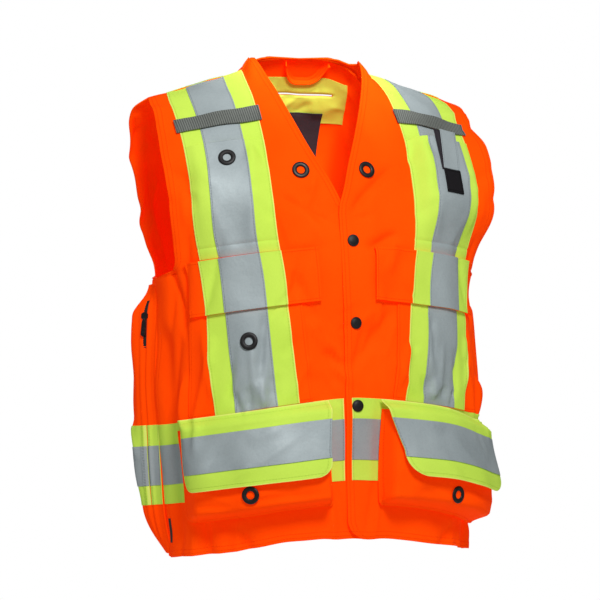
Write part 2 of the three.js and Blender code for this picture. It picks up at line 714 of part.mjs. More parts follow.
// Radio strap on the left chest pocket, with its hook-and-loop patch
const radioFace = (a, h) => puff.left(a, Math.min(h, CHEST_POCKET_TOP)) + FLAP + TAPE + 2 * GAP;
const STRAP_TOP = CHEST_POCKET_TOP + 14;
const STRAP_BOTTOM = CHEST_POCKET_TOP - 46;
const STRAP_INNER = TAPE_MIDDLE - 13;
const strapFoot = box(STRAP_INNER, STRAP_INNER + STRAP_WIDTH, STRAP_BOTTOM, STRAP_TOP);
add("radio_strap", sheet({
  outline: strapFoot.map(([a, h]) => [h > STRAP_BOTTOM ? a + STRAP_LEAN : a, h]),
  low: radioFace, high: (a, h) => radioFace(a, h) + TAPE,
}), SILVER);
add("radio_strap_patch", sheet({
  outline: box(STRAP_INNER, STRAP_INNER + STRAP_WIDTH, STRAP_BOTTOM - 31, STRAP_BOTTOM - 1),
  low: radioFace, high: (a, h) => radioFace(a, h) + TAPE,
}), DARK_CLOTH);

// Middle pockets with wide flaps, and the tape that runs down over them
const POCKET_LAYER = layer(GAP, FLAP);
const LOWER_LIME = layer(POCKET_LAYER.high + GAP, TAPE);
const LOWER_SILVER = layer(LOWER_LIME.high + GAP, TAPE);
const FLAP_LAYER = layer(LOWER_SILVER.high + GAP, FLAP);
const FLAP_LIME = layer(FLAP_LAYER.high + GAP, TAPE);
const FLAP_SILVER = layer(FLAP_LIME.high + GAP, TAPE);
HANDS.forEach(([hand, sign]) => {
  const strip = (left, right, low, high) => ({ hand: sign, outline: box(left, right, low, high) });
  const top = MID_POCKET_TOP;
  const low = WAIST_TOP + GAP;
  const outline = [
    [MID_POCKET_INNER, low], [MID_POCKET_FOOT, low], [MID_FLAP_OUTER, top], [MID_POCKET_INNER, top],
  ];
  add(`middle_pocket_${hand}`, sheet({ hand: sign, outline, ...POCKET_LAYER }), ORANGE);
  add(`lower_tape_${hand}`, sheet({ ...strip(TAPE_INNER, TAPE_OUTER, low, top), ...LOWER_LIME }), LIME);
  add(`lower_silver_${hand}`, sheet({
    ...strip(SILVER_INNER, SILVER_OUTER, low, top), ...LOWER_SILVER,
  }), SILVER);
  add(`middle_flap_${hand}`, sheet({
    ...strip(MID_FLAP_INNER[hand], MID_FLAP_OUTER, MID_FLAP_BOTTOM, MID_FLAP_TOP), ...FLAP_LAYER,
  }), ORANGE);
  add(`middle_flap_tape_${hand}`, sheet({
    ...strip(TAPE_INNER, TAPE_OUTER, MID_FLAP_BOTTOM, MID_FLAP_TOP), ...FLAP_LIME,
  }), LIME);
  add(`middle_flap_silver_${hand}`, sheet({
    ...strip(SILVER_INNER, SILVER_OUTER, MID_FLAP_BOTTOM, MID_FLAP_TOP), ...FLAP_SILVER,
  }), SILVER);
});

// Waist tape on both fronts
HANDS.forEach(([hand, sign]) => {
  const start = sign < 0 ? FRONT_EDGE + 2 : -FRONT_EDGE + 7;
  const run = (low, high) => {
    const heights = between(UP, low, high);
    return [...heights.map((h) => [seamAt("front", h) - SEAM, h]), [start, high], [start, low]];
  };
  add(`waist_tape_${hand}`, sheet({
    hand: sign, outline: run(WAIST_BOTTOM, WAIST_TOP), ...LIME_ON_CLOTH,
  }), LIME);
  add(`waist_silver_${hand}`, sheet({
    hand: sign, outline: run(WAIST_SILVER_BOTTOM, WAIST_SILVER_TOP), ...SILVER_ON_LIME,
  }), SILVER);
});

// Bellows pockets at the hem and their flaps
const RIM = SILVER_ON_LIME.high + GAP;
function bellows(a, h) {
  const inner = smooth((Math.abs(a) - POCKET_INNER) / POCKET_WALL);
  const outer = smooth((POCKET_OUTER - Math.abs(a)) / POCKET_WALL);
  const bottom = smooth((h - POCKET_BOTTOM) / POCKET_WALL);
  const depth = POCKET_DEPTH * mix(1, MOUTH_SHARE, smooth((h - FLAP_BOTTOM) / (POCKET_MOUTH - FLAP_BOTTOM)));
  return RIM + depth * inner * outer * bottom;
}
function hanging(flare) {
  return (a, h) => {
    const down = (WAIST_TOP - h) / (WAIST_TOP - FLAP_BOTTOM);
    const mouth = RIM + POCKET_CLOTH + GAP + POCKET_DEPTH * MOUTH_SHARE * smooth(down * 7);
    const lower = POCKET_DEPTH * (1 - MOUTH_SHARE) * smooth((down - 0.1) / 0.8) + flare * down ** 2;
    return mouth + lower;
  };
}
// Bellows pockets stand off forwards more than sideways, the right one most
const FORWARD = { right: 0.85, left: 0.45 };
const pocketAt = (hand, sign) => (a, level, d) => {
  const h = level - HANG[hand] * smooth((Math.abs(a) - 100) / 120);
  const skin = cloth("front", sign)(a, h, Math.min(d, RIM));
  const away = outward("front", a, h);
  const turn = FORWARD[hand] * smooth((Math.abs(a) - TAPE_INNER) / TAPE_WIDTH);
  away.lerp(new THREE.Vector3(0, -1, 0), turn).normalize();
  return skin.addScaledVector(away, Math.max(d - RIM, 0));
};
const POCKET_ACROSS = [
  POCKET_INNER + POCKET_WALL / 2, POCKET_INNER + POCKET_WALL, SILVER_INNER, SILVER_OUTER, 184,
  POCKET_OUTER - POCKET_WALL, POCKET_OUTER - POCKET_WALL / 2,
];
const POCKET_UP = [
  POCKET_BOTTOM + POCKET_WALL / 2, POCKET_BOTTOM + POCKET_WALL, WAIST_SILVER_BOTTOM, 124, WAIST_SILVER_TOP,
  POCKET_MOUTH,
];
HANDS.forEach(([hand, sign]) => {
  const left = HEM_FLAP_INNER[hand];
  const right = POCKET_OUTER + FLAP_OVERHANG;
  const slant = FLAP_SLANT[hand];
  const drop = hanging(FLAP_FLARE[hand]);
  const common = { hand: sign, across: POCKET_ACROSS, up: POCKET_UP, at: pocketAt(hand, sign) };
  const flapOutline = rounded(left, right, FLAP_BOTTOM, WAIST_TOP, FLAP_CORNER[hand], slant);
  add(`hem_pocket_${hand}`, sheet({
    ...common, outline: rounded(POCKET_INNER, POCKET_OUTER, POCKET_BOTTOM, POCKET_MOUTH, POCKET_CORNER),
    low: bellows, high: (a, h) => bellows(a, h) + POCKET_CLOTH,
  }), ORANGE);
  add(`hem_flap_${hand}`, sheet({
    ...common, outline: flapOutline, low: drop, high: (a, h) => drop(a, h) + FLAP,
  }), LIME);
  const slope = slant * ((WAIST_TOP - WAIST_SILVER_TOP) / (WAIST_TOP - FLAP_BOTTOM - 30));
  const inner = sign > 0 ? left + slope : left;
  const bandOutline = sign > 0
    ? [
      [inner, WAIST_SILVER_TOP], [left + slant + 2, WAIST_SILVER_BOTTOM + 10],
      [left + slant + 8, WAIST_SILVER_BOTTOM], [right, WAIST_SILVER_BOTTOM], [right, WAIST_SILVER_TOP],
    ]
    : box(left, right, WAIST_SILVER_BOTTOM, WAIST_SILVER_TOP);
  add(`hem_flap_silver_${hand}`, sheet({
    ...common, outline: bandOutline,
    low: (a, h) => drop(a, h) + FLAP + 2 * GAP, high: (a, h) => drop(a, h) + FLAP + 2 * GAP + TAPE,
  }), SILVER);
});

// Pouch across the back: across runs from 0 to 100 between the centre and the rim at the side seam
const RIM_INSET = 5;
const POUCH_CLEAR = 1.5;
const TAPE_END = 95.2;
const ZIP_EDGES = [95.4, 97.6];
const POUCH_ACROSS = [0, 20, 40, 55, 68, 78, 86, 92, TAPE_END, ZIP_EDGES[1]];
const ZIP_RUN = [POUCH_BOTTOM + 15, POUCH_TOP - 20];
const POUCH_UP = [
  ZIP_RUN[0], POUCH_BOTTOM + 31, WAIST_BOTTOM, WAIST_SILVER_BOTTOM, WAIST_SILVER_TOP, WAIST_TOP, 240,
  POUCH_TOP - 40, ZIP_RUN[1],
];
const pouchAt = (u, h, d) => cloth("back", 1)((u / 100) * (seamAt("back", h) - RIM_INSET), h, d);
const pouchShape = (u, h) => {
  const sideways = smooth((100 - Math.abs(u)) / 8);
  const bottom = Math.sin((Math.PI / 2) * clamp((h - POUCH_BOTTOM) / 66, 0, 1));
  return POUCH_DEPTH * sideways * bottom * smooth((POUCH_TOP - h) / 50);
};
const pouchLow = (u, h) => POUCH_CLEAR + pouchShape(u, h);
const pouchLayer = (from, thick) => ({
  low: (u, h) => pouchLow(u, h) + POCKET_CLOTH + from,
  high: (u, h) => pouchLow(u, h) + POCKET_CLOTH + from + thick,
});
const onPouch = { side: "back", across: POUCH_ACROSS, up: POUCH_UP, at: pouchAt };
add("back_pouch", sheet({
  ...onPouch, outline: box(-100, 100, POUCH_BOTTOM, POUCH_TOP),
  low: pouchLow, high: (u, h) => pouchLow(u, h) + POCKET_CLOTH,
}), ORANGE);
add("waist_tape_back", sheet({
  ...onPouch, outline: box(-TAPE_END, TAPE_END, WAIST_BOTTOM, WAIST_TOP), ...pouchLayer(GAP, TAPE),
}), LIME);
add("waist_silver_back", sheet({
  ...onPouch, outline: box(-TAPE_END, TAPE_END, WAIST_SILVER_BOTTOM, WAIST_SILVER_TOP),
  ...pouchLayer(2 * GAP + TAPE, TAPE),
}), SILVER);
HANDS.forEach(([hand, sign]) => {
  add(`pouch_zip_${hand}`, sheet({
    ...onPouch, hand: sign, outline: box(...ZIP_EDGES, ...ZIP_RUN), ...pouchLayer(GAP, TAPE),
  }), BLACK);
  const backTop = TOPS.back - SEAM;
  add(`back_tape_${hand}`, sheet({
    ...onBack, hand: sign, outline: box(TAPE_INNER, TAPE_OUTER, POUCH_TOP + 8, backTop),
    ...LIME_ON_CLOTH,
  }), LIME);
  add(`back_silver_${hand}`, sheet({
    ...onBack, hand: sign, outline: box(SILVER_INNER, SILVER_OUTER, POUCH_TOP + 8, backTop),
    ...SILVER_ON_LIME,
  }), SILVER);
});

// Zip sliders with their pulls, near the top of each zip
function tab(width, length, thick, neck) {
  const shape = new THREE.Shape();
  shape.moveTo(-neck / 2, SLIDER_SIZE);
  shape.lineTo(-SLIDER_SIZE / 2, SLIDER_SIZE - 2);
  shape.lineTo(-SLIDER_SIZE / 2, 2);
  shape.lineTo(-neck / 2, 0);
  shape.lineTo(-width / 2, -4);
  shape.lineTo(-width / 2, -length + 2);
  shape.lineTo(0, -length);
  shape.lineTo(width / 2, -length + 2);
  shape.lineTo(width / 2, -4);
  shape.lineTo(neck / 2, 0);
  shape.lineTo(SLIDER_SIZE / 2, 2);
  shape.lineTo(SLIDER_SIZE / 2, SLIDER_SIZE - 2);
  shape.lineTo(neck / 2, SLIDER_SIZE);
  shape.closePath();
  return new THREE.ExtrudeGeometry(shape, { depth: thick, bevelEnabled: false });
}
HANDS.forEach(([hand, sign]) => {
  const pull = tab(PULL_WIDTH, PULL_LENGTH, PULL_THICK, PULL_WIDTH - 2);
  const onZip = (u, h, d) => pouchAt(u, h, pouchLow(u, h) + POCKET_CLOTH + TAPE + GAP + d);
  const middle = (ZIP_EDGES[0] + ZIP_EDGES[1]) / 2;
  add(`zip_pull_${hand}`, seated(pull, onZip, middle * sign, ZIP_RUN[1] - 24, 3 * GAP, -1.25), BLACK);
});

// Snap caps up the front edge
[1, 0, -1].forEach((step, i) => {
  const h = SNAP_MIDDLE + step * SNAP_SPACING;
  const lift = step < 0 ? LIME_ON_CLOTH.high + GAP : GAP;
  add(`snap_${i + 1}`, seated(cap(SNAP_SIZE / 2, SNAP_HEIGHT, 12), cloth("front", 1), 3, h, lift), BLACK);
});

// Grommets: where each sits, and what it stands on
const ring = () => turned([
  [GROMMET_HOLE / 2, 0], [GROMMET_SIZE / 2, 0], [GROMMET_SIZE / 2 - 1, GROMMET_HEIGHT * 0.7],
  [GROMMET_HOLE / 2 + 3, GROMMET_HEIGHT], [GROMMET_HOLE / 2, GROMMET_HEIGHT * 0.6],
], 12);
const chestTop = (a, h) => puff.right(a, h) + FLAP + TAPE + GAP;
const GROMMETS = [
  { name: "chest_right", hand: -1, a: TAPE_MIDDLE, h: 488, lift: chestTop(TAPE_MIDDLE, 488) - CELL_SAG * 0.6 },
  { name: "neck_right", hand: -1, a: 37, h: 462, lift: GAP },
  { name: "neck_left", hand: 1, a: 22, h: 460, lift: GAP },
  { name: "waist_right", hand: -1, a: TAPE_MIDDLE, h: 258, lift: LOWER_SILVER.high + GAP },
  { name: "pocket_right", hand: -1, a: 140, h: 72, lift: bellows(140, 72) + POCKET_CLOTH + GAP },
  { name: "pocket_left", hand: 1, a: 130, h: 66, lift: bellows(130, 70) + POCKET_CLOTH - CELL_SAG / 2 },
];
GROMMETS.forEach(({ name, hand, a, h, lift }) => {
  const at = name.startsWith("pocket") ? pocketAt(hand < 0 ? "right" : "left", hand) : cloth("front", hand);
  add(`grommet_${name}`, seated(ring(), at, a * hand, h, lift), BLACK);
});

export default vest;
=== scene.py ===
import math
import bmesh
import bpy
import numpy as np
from mathutils import Matrix, Vector


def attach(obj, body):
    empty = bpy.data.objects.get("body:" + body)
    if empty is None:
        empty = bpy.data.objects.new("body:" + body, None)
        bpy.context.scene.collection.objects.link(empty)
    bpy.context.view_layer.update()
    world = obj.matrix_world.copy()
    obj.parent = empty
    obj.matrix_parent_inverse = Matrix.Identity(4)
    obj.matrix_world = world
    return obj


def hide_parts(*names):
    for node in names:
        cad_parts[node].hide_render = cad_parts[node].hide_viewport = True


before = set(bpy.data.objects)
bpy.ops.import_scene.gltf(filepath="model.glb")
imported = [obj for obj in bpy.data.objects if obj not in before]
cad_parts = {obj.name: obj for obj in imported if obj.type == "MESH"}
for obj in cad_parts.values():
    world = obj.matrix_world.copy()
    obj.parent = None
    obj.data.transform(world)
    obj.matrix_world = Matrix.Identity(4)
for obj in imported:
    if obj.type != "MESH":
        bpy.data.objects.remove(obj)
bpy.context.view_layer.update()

# Sizes shared with the solids, in mm
TAPE_WIDTH, SILVER_WIDTH = 101.6, 50.8
SHOULDER_HEIGHT, HALF_CHEST, FRONT_DEPTH, BACK_DEPTH = 616.0, 215.0, 145.0, 112.0
SHOULDER_SLOPE, SLOPE_SOFT, SIDE_DIP, DIP_POWER, TAPE_LEAN = 0.31, 30.0, 31.0, 1.4, 32.0
COLLAR_RISE, COLLAR_FOOT = 13.0, 583.0
CROSSING_LIFT = 2.4
LEVEL_BELOW = {"front": 60.0, "back": 150.0}
TAPE_INNER = 66.0
TAPE_OUTER = TAPE_INNER + TAPE_WIDTH
TAPE_MIDDLE = TAPE_INNER + TAPE_WIDTH / 2
SILVER_INNER, SILVER_OUTER = TAPE_MIDDLE - SILVER_WIDTH / 2, TAPE_MIDDLE + SILVER_WIDTH / 2
FRONT_EDGE, UNDER_EDGE, NECK_HALF, ARMHOLE = 11.0, 18.0, 56.0, 197.0
POCKET_INNER, POCKET_OUTER, POCKET_WALL = 34.0, 226.0, 14.0
MID_FLAP_INNER, MID_FLAP_OUTER, MID_POCKET_INNER, MID_POCKET_FOOT = {-1: 32.0, 1: 24.0}, 190.0, 50.0, 204.0
# The hem flaps of each hand: corners, ends at the top, what each end gains further down, and the silver strip
FLAP_CORNER, FLAP_INNER, FLAP_OUTER = {-1: 20.0, 1: 30.0}, {-1: 32.0, 1: 30.0}, {-1: 223.0, 1: 227.0}
FLAP_SLANT, FLAP_SPREAD, FLAP_BAND = {-1: 11.0, 1: 22.0}, {-1: 15.0, 1: 0.0}, (106.5, 152.5)
SLIT_HALF, FACING_HALF = 40.0, 53.0
WAIST_TOP = 174.0
WAIST_BOTTOM = WAIST_TOP - TAPE_WIDTH
WAIST_SILVER_TOP = WAIST_TOP - (TAPE_WIDTH - SILVER_WIDTH) / 2
WAIST_SILVER_BOTTOM = WAIST_SILVER_TOP - SILVER_WIDTH
POCKET_BOTTOM, POCKET_MOUTH, FLAP_BOTTOM = 42.0, 162.0, 84.0
MID_FLAP_BOTTOM, MID_FLAP_TOP, MID_POCKET_TOP = 296.0, 362.0, 350.0
CHEST_SEAM, CHEST_POCKET_BOTTOM, CHEST_POCKET_TOP = 376.0, 362.6, 514.0
WEBBING_BOTTOM, WEBBING_TOP = 542.0, 567.4
SLIT_BOTTOM, SLIT_TOP, FACING_BOTTOM, FACING_TOP = 589.8, 592.2, 551.0, 609.0
LABEL_SPAN, LABEL_BOTTOM, LABEL_TOP, LOOP_MIDDLE = (-8.0, 33.0), 505.0, 567.0, 9.0
ARMPIT, NECK_V = 350.0, 413.0
POUCH_TOP, POUCH_BOTTOM, RIM_INSET = 345.0, 5.0, 5.0
SNAP_SPACING, SNAP_MIDDLE, SNAP_SIZE, SNAP_HEIGHT = 102.0, 266.0, 15.0, 3.0
POCKET_DEPTH, MOUTH_SHARE, RADIO_DEPTH, CHEST_PUFF, POUCH_DEPTH = 30.0, 0.6, 15.0, 3.0, 20.0
FLAP_FLARE, HANG = {-1: 6.0, 1: 9.6}, {-1: -2.0, 1: 9.0}
GROMMET_SIZE, GROMMET_HOLE, GROMMET_HEIGHT = 22.0, 10.0, 2.4
# Lower and upper face of each layer of a front, in mm above its panel
PANEL, TAPE, STRIP = (-1.4, 0.0), (0.25, 0.95), (1.15, 1.6)
MID_POCKET, LOWER_TAPE, LOWER_STRIP = (0.3, 1.5), (2.1, 2.8), (3.3, 3.8)
MID_FLAP, MID_FLAP_TAPE, MID_FLAP_STRIP = (4.4, 5.6), (6.3, 7.0), (7.4, 7.9)
ORIGIN_Z = SHOULDER_HEIGHT

COLUMNS = ("up", "wide", "front", "edge", "back", "late", "backLate", "turn", "slope", "dip", "lean")
SECTIONS = np.array([
    [0.0, 0.92, 0.93, -0.06, 0.96, 1.45, 1.7, 90, 0.0, 0.66, -0.45],
    [0.11, 0.95, 0.96, -0.06, 0.96, 1.45, 1.7, 90, 0.0, 0.84, -0.3],
    [0.22, 0.975, 0.99, -0.06, 0.96, 1.45, 1.7, 90, 0.0, 0.92, -0.1],
    [0.33, 0.99, 1.01, -0.06, 0.96, 1.45, 1.7, 90, 0.0, 0.85, 0.12],
    [0.44, 0.98, 1.02, -0.06, 0.97, 1.5, 1.7, 90, 0.02, 0.75, 0.35],
    [0.54, 0.97, 1.02, -0.06, 0.99, 1.55, 1.7, 90, 0.05, 0.6, 0.55],
    [0.62, 1.05, 1.0, -0.06, 1.02, 1.55, 1.7, 84, 0.1, 0.4, 0.75],
    [0.7, 1.18, 0.95, -0.05, 1.03, 1.6, 1.8, 70, 0.17, 0.22, 0.9],
    [0.78, 1.26, 0.84, -0.03, 0.97, 1.6, 1.8, 52, 0.28, 0.08, 1.0],
    [0.855, 1.3, 0.66, 0.0, 0.82, 1.6, 1.8, 36, 0.42, 0.0, 1.0],
    [0.92, 1.32, 0.44, 0.02, 0.58, 1.6, 1.8, 24, 0.6, 0.0, 0.9],
    [0.97, 1.33, 0.2, 0.0, 0.36, 1.6, 1.8, 14, 0.83, 0.0, 0.75],
    [1.0, 1.33, 0.0, 0.0, 0.0, 1.6, 1.8, 6, 1.0, 0.0, 0.6],
])

# Folds: side, hand, from and to in mm of the pattern, width, height outwards
FOLDS = [
    ("front", -1, (248, 37), (244, 271), 17, -9),
    ("front", 1, (248, 37), (244, 246), 17, -5),
    ("front", 1, (201, 431), (213, 517), 42, 20),
    ("front", 1, (51, 345), (20, 209), 12, -3),
    ("front", -1, (35, 357), (24, 222), 12, -3),
]
# Edges of the panels: shares of the height and of the half width
ARMHOLE_FRONT = (
    (1.0, 0.975), (0.905, 0.965), (0.83, 0.985), (0.75, 1.0),
    (0.68, 1.0), (0.62, 1.005), (0.57, 1.025), (0.54, 1.055),
)
ARMHOLE_BACK = (
    (1.0, 0.975), (0.965, 1.03), (0.91, 1.055), (0.82, 1.035),
    (0.71, 0.995), (0.63, 0.985), (0.58, 1.01), (0.553, 1.07),
)
NECK_RIGHT = ((0.0, 0.1), (0.25, 0.43), (0.52, 0.64), (0.82, 0.76), (1.0, 0.9))
NECK_LEFT = ((0.0, -0.18), (0.21, 0.11), (0.43, 0.38), (0.75, 0.71), (1.0, 1.0))
# The neck's back edge: mm below the shoulder line and share of the half width
NECK_BACK = ((22, 0.0), (21, 0.5), (15, 0.85), (6, 1.02), (0, 1.0))


def smooth(k):
    """An even rise from 0 to 1."""
    k = np.clip(k, 0, 1)
    return k * k * (3 - 2 * k)


def level(name, t):
    """A column of the sections at step t, curved smoothly through its rows."""
    v = SECTIONS[:, COLUMNS.index(name)]
    p = np.concatenate([[2 * v[0] - v[1]], v, [2 * v[-1] - v[-2]]])
    t = np.clip(np.asarray(t, float), 0, len(v) - 1)
    i = np.minimum(t.astype(int), len(v) - 2)
    f = t - i
    a, b, c, d = p[i], p[i + 1], p[i + 2], p[i + 3]
    return 0.5 * (2 * b + (c - a) * f + (2 * a - 5 * b + 4 * c - d) * f**2 + (3 * b - a - 3 * c + d) * f**3)


STEPS = np.linspace(0, len(SECTIONS) - 1, 481)
TRACKS = {}
for track_side, depth in (("front", FRONT_DEPTH), ("back", BACK_DEPTH)):
    rises, runs = np.diff(level("up", STEPS)) * SHOULDER_HEIGHT, np.diff(level(track_side, STEPS)) * depth
    lengths = np.hypot(rises, runs)
    TRACKS[track_side] = np.concatenate([[0], np.cumsum(lengths)])
TOPS = {side: TRACKS[side][-1] for side in TRACKS}
GAUSS_X, GAUSS_W = np.polynomial.legendre.leggauss(8)
GAUSS_X, GAUSS_W = (GAUSS_X + 1) / 2, GAUSS_W / 2


def swept(u, turn, late):
    """End of a curve that turns later or sooner along its length."""
    x, y = np.zeros(np.shape(u)), np.zeros(np.shape(u))
    for g, w in zip(GAUSS_X, GAUSS_W):
        heading = turn * np.power(u * g, late)
        x, y = x + w * np.cos(heading), y + w * np.sin(heading)
    return x * u, y * u


def section(side, h):
    """One half of a section of the body, at h up the cloth."""
    t = np.interp(h, TRACKS[side], STEPS)
    turn, late = np.radians(level("turn", t)), level("late" if side == "front" else "backLate", t)
    wide, edge = level("wide", t) * HALF_CHEST, level("edge", t) * FRONT_DEPTH
    middle = -level("front", t) * FRONT_DEPTH if side == "front" else level("back", t) * BACK_DEPTH
    x1, y1 = swept(np.ones(np.shape(t)), turn, late)
    along_x, along_y = wide / x1, (edge - middle) / y1
    length = np.zeros(np.shape(t))
    for g, w in zip(GAUSS_X, GAUSS_W):
        heading = turn * g**late
        length = length + w * np.hypot(np.cos(heading) * along_x, np.sin(heading) * along_y)
    return t, turn, late, middle, along_x, along_y, length


def seam_at(side, h):
    """Where the side seam lies across the pattern."""
    t, *_, length = section(side, np.asarray(h, float))
    return length - level("lean", t) * TAPE_LEAN


def cloth_across(side, a, h):
    """Cloth between the middle and a, in mm. Beside the neck the pattern's own lines lean."""
    t = np.interp(h, TRACKS[side], STEPS)
    return np.sign(a) * (np.abs(a) + smooth(np.abs(a) / (TAPE_INNER - 4)) * level("lean", t) * TAPE_LEAN)


def body(side, a, h):
    """The bare body at a across and h up the pattern, in mm."""
    t, turn, late, middle, along_x, along_y, length = section(side, h)
    s = np.abs(cloth_across(side, a, h))
    x, y = swept(s / length, turn, late)
    out = x * along_x
    soft = np.hypot(out, SLOPE_SOFT) - SLOPE_SOFT
    beside_neck = 1 - smooth((np.abs(a) - NECK_HALF + 2) / (TAPE_INNER - NECK_HALF + 2))
    flat = beside_neck * smooth((LEVEL_BELOW[side] - TOPS[side] + h) / 60)
    z = level("up", t) * SHOULDER_HEIGHT - level("slope", t) * SHOULDER_SLOPE * soft * (1 - flat)
    z = z - level("dip", t) * SIDE_DIP * (out / HALF_CHEST) ** DIP_POWER
    if side == "back":
        z = z + (1 - smooth((np.abs(a) - 30) / 26)) * smooth((h - COLLAR_FOOT) / 45) * COLLAR_RISE
    return np.stack([np.sign(a) * out, middle + y * along_y, z], -1)


def facing(side, a, h):
    """Which way the bare body faces."""
    step = 0.8
    across = body(side, a + step, h) - body(side, a - step, h)
    up = body(side, a, np.minimum(h + step, TOPS[side])) - body(side, a, np.maximum(h - step, 0))
    n = np.cross(across, up)
    n /= np.linalg.norm(n, axis=-1, keepdims=True)
    return n if side == "front" else -n


def outward(side, a, h):
    """The way that cloth stands off the body, shared by front and back at the shoulder."""
    own = facing(side, a, h)
    near = smooth(1 - (TOPS[side] - h) / 14)[..., None]
    if not (near > 0).any():
        return own
    other = "back" if side == "front" else "front"
    shared = sum(facing(way, a, np.full(np.shape(h), TOPS[way])) for way in (side, other))
    shared /= np.linalg.norm(shared, axis=-1, keepdims=True)
    n = own * (1 - near) + shared * near
    return n / np.linalg.norm(n, axis=-1, keepdims=True)


def fold_at(side, a, h):
    """Folds that the solids have too."""
    out = np.zeros(np.shape(a))
    for fold_side, hand, (ax, ay), (bx, by), wide, height in FOLDS:
        if fold_side != side:
            continue
        x = np.abs(a)
        along = ((x - ax) * (bx - ax) + (h - ay) * (by - ay)) / ((bx - ax) ** 2 + (by - ay) ** 2)
        along = np.clip(along, 0, 1)
        away = np.hypot(x - ax - along * (bx - ax), h - ay - along * (by - ay))
        here = height * np.exp(-((away / wide) ** 2))
        out = out + np.where(hand * a < 0, 0, here)
    return out


def scatter(seed, count, across, up, angle, length, width, height, spread=14):
    """Seeded creases: from, to, width and height in mm. The angle is from level, in degrees."""
    rng = np.random.default_rng(seed)
    rows = []
    for i in range(count):
        a, h = rng.uniform(*across), rng.uniform(*up)
        turn, half = math.radians(rng.normal(angle, spread)), rng.uniform(*length) / 2
        da, dh = half * math.cos(turn), half * math.sin(turn)
        out = rng.uniform(*height) * (1 if i % 2 else -1)
        rows.append(((a - da, h - dh), (a + da, h + dh), rng.uniform(*width), out))
    return rows


def creased(rows, a, h):
    """Height of creases that fade at their ends."""
    out = np.zeros(np.shape(a))
    low_a, high_a, low_h, high_h = np.min(a), np.max(a), np.min(h), np.max(h)
    for (ax, ay), (bx, by), wide, height in rows:
        reach = 3 * wide
        if max(ax, bx) < low_a - reach or min(ax, bx) > high_a + reach:
            continue
        if max(ay, by) < low_h - reach or min(ay, by) > high_h + reach:
            continue
        along = ((a - ax) * (bx - ax) + (h - ay) * (by - ay)) / ((bx - ax) ** 2 + (by - ay) ** 2)
        away = np.abs((a - ax) * (by - ay) - (h - ay) * (bx - ax)) / math.hypot(bx - ax, by - ay)
        fade = smooth(4 * np.clip(along, 0, 1) * (1 - np.clip(along, 0, 1)))
        ridge = np.exp(0.3 - np.sqrt((away / wide) ** 2 + 0.09)) * np.exp(-((away / wide / 2.2) ** 2))
        out = out + height * fade * ridge
    return out


def both(rows):
    """The same creases on both hands, not quite mirrored."""
    other = []
    for (ax, ay), (bx, by), wide, height in rows:
        other.append(((-ax * 1.03, ay - 6), (-bx * 0.98, by + 5), wide, height))
    return rows + other


# Seeded creases of the fronts and the back: the numbers are those that scatter names
CREASE_DEPTH = 3.2
CREASES = {
    "front": (
        both(scatter(5, 9, (150, 240), (185, 350), 97, (50, 130), (4, 8), (1.0, 2.4)))
        + both(scatter(6, 9, (20, 250), (-10, 40), 90, (45, 90), (4, 8), (0.8, 2.0), 12))
        + scatter(7, 9, (-58, -14), (190, 440), 106, (40, 110), (3, 6), (1.0, 2.2))
        + scatter(8, 9, (6, 62), (190, 440), 78, (40, 110), (3, 6), (1.0, 2.2))
        + scatter(14, 6, (-56, -16), (185, 260), 112, (40, 60), (4, 6), (1.0, 1.8), 10)
        + both(scatter(9, 9, (90, 143), (178, 200), 86, (16, 34), (2.4, 4.0), (0.6, 1.3)))
        + both(scatter(10, 8, (166, 200), (400, 620), 62, (25, 80), (5, 9), (0.4, 1.1), 26))
        + both(scatter(11, 9, (52, 188), (190, 300), 106, (24, 80), (3, 6), (0.6, 1.6), 24))
        + both(scatter(12, 8, (70, 164), (385, 505), 70, (20, 70), (4, 8), (0.4, 1.1), 40))
        + scatter(13, 7, (-16, 24), (150, 400), 10, (14, 34), (2.5, 5), (0.3, 0.7), 22)
    ),
    "back": (
        scatter(21, 24, (-185, 185), (360, 600), 88, (40, 130), (6, 13), (0.5, 1.6), 34)
        + both(scatter(22, 8, (150, 198), (372, 590), 80, (50, 120), (6, 11), (1.2, 2.8), 16))
        + both(scatter(23, 8, (178, 236), (10, 330), 89, (90, 200), (5, 9), (0.9, 2.2), 6))
        + scatter(24, 16, (-180, 180), (5, 335), 90, (40, 140), (6, 12), (0.5, 1.6), 20)
        + both(scatter(25, 6, (218, 240), (66, 180), 90, (40, 90), (1.8, 3.2), (0.5, 1.2), 4))
        + scatter(26, 8, (-56, 56), (560, 640), 12, (20, 60), (3, 6), (0.3, 0.8), 30)
    ),
}


def crossing(side, hand, a):
    """The left front stands out where it crosses over the right one."""
    if side != "front" or hand < 0:
        return np.zeros(np.shape(a))
    return CROSSING_LIFT * (1 - smooth((a - UNDER_EDGE - 2) / (POCKET_INNER - UNDER_EDGE - 2)))


WAVE_COUNT = 5


def waves(a, h, size, seed):
    """A gentle seeded relief, between about -1 and 1, with features about size mm long."""
    rng = np.random.default_rng(seed)
    out = np.zeros(np.shape(a))
    for _ in range(WAVE_COUNT):
        angle, phase = rng.uniform(0, math.pi), rng.uniform(0, 2 * math.pi)
        pitch = size * rng.uniform(0.7, 1.5)
        bend = 0.6 * np.sin((a * math.sin(angle) - h * math.cos(angle)) / (size * 1.3) + phase * 2)
        out += np.sin((a * math.cos(angle) + h * math.sin(angle)) * 2 * math.pi / pitch + phase + bend)
    return out / WAVE_COUNT


# Height, stretch along the height, size and what is added to the seed
SOFT_WAVES = ((2.6, 0.6, 95, 0), (1.7, 0.5, 42, 1))
# Height, size and seed
HEM_WAVES = ((1.3, 80, 29), (0.7, 34, 31))
# Height, reach from the seam, and place and reach up the pattern
SIDE_FULLNESS = (9.0, 70, 225, 85)
# Depth, then place and reach across and up the pattern
ARMHOLE_TUCK = (9.0, 226, 34, 372, 24)
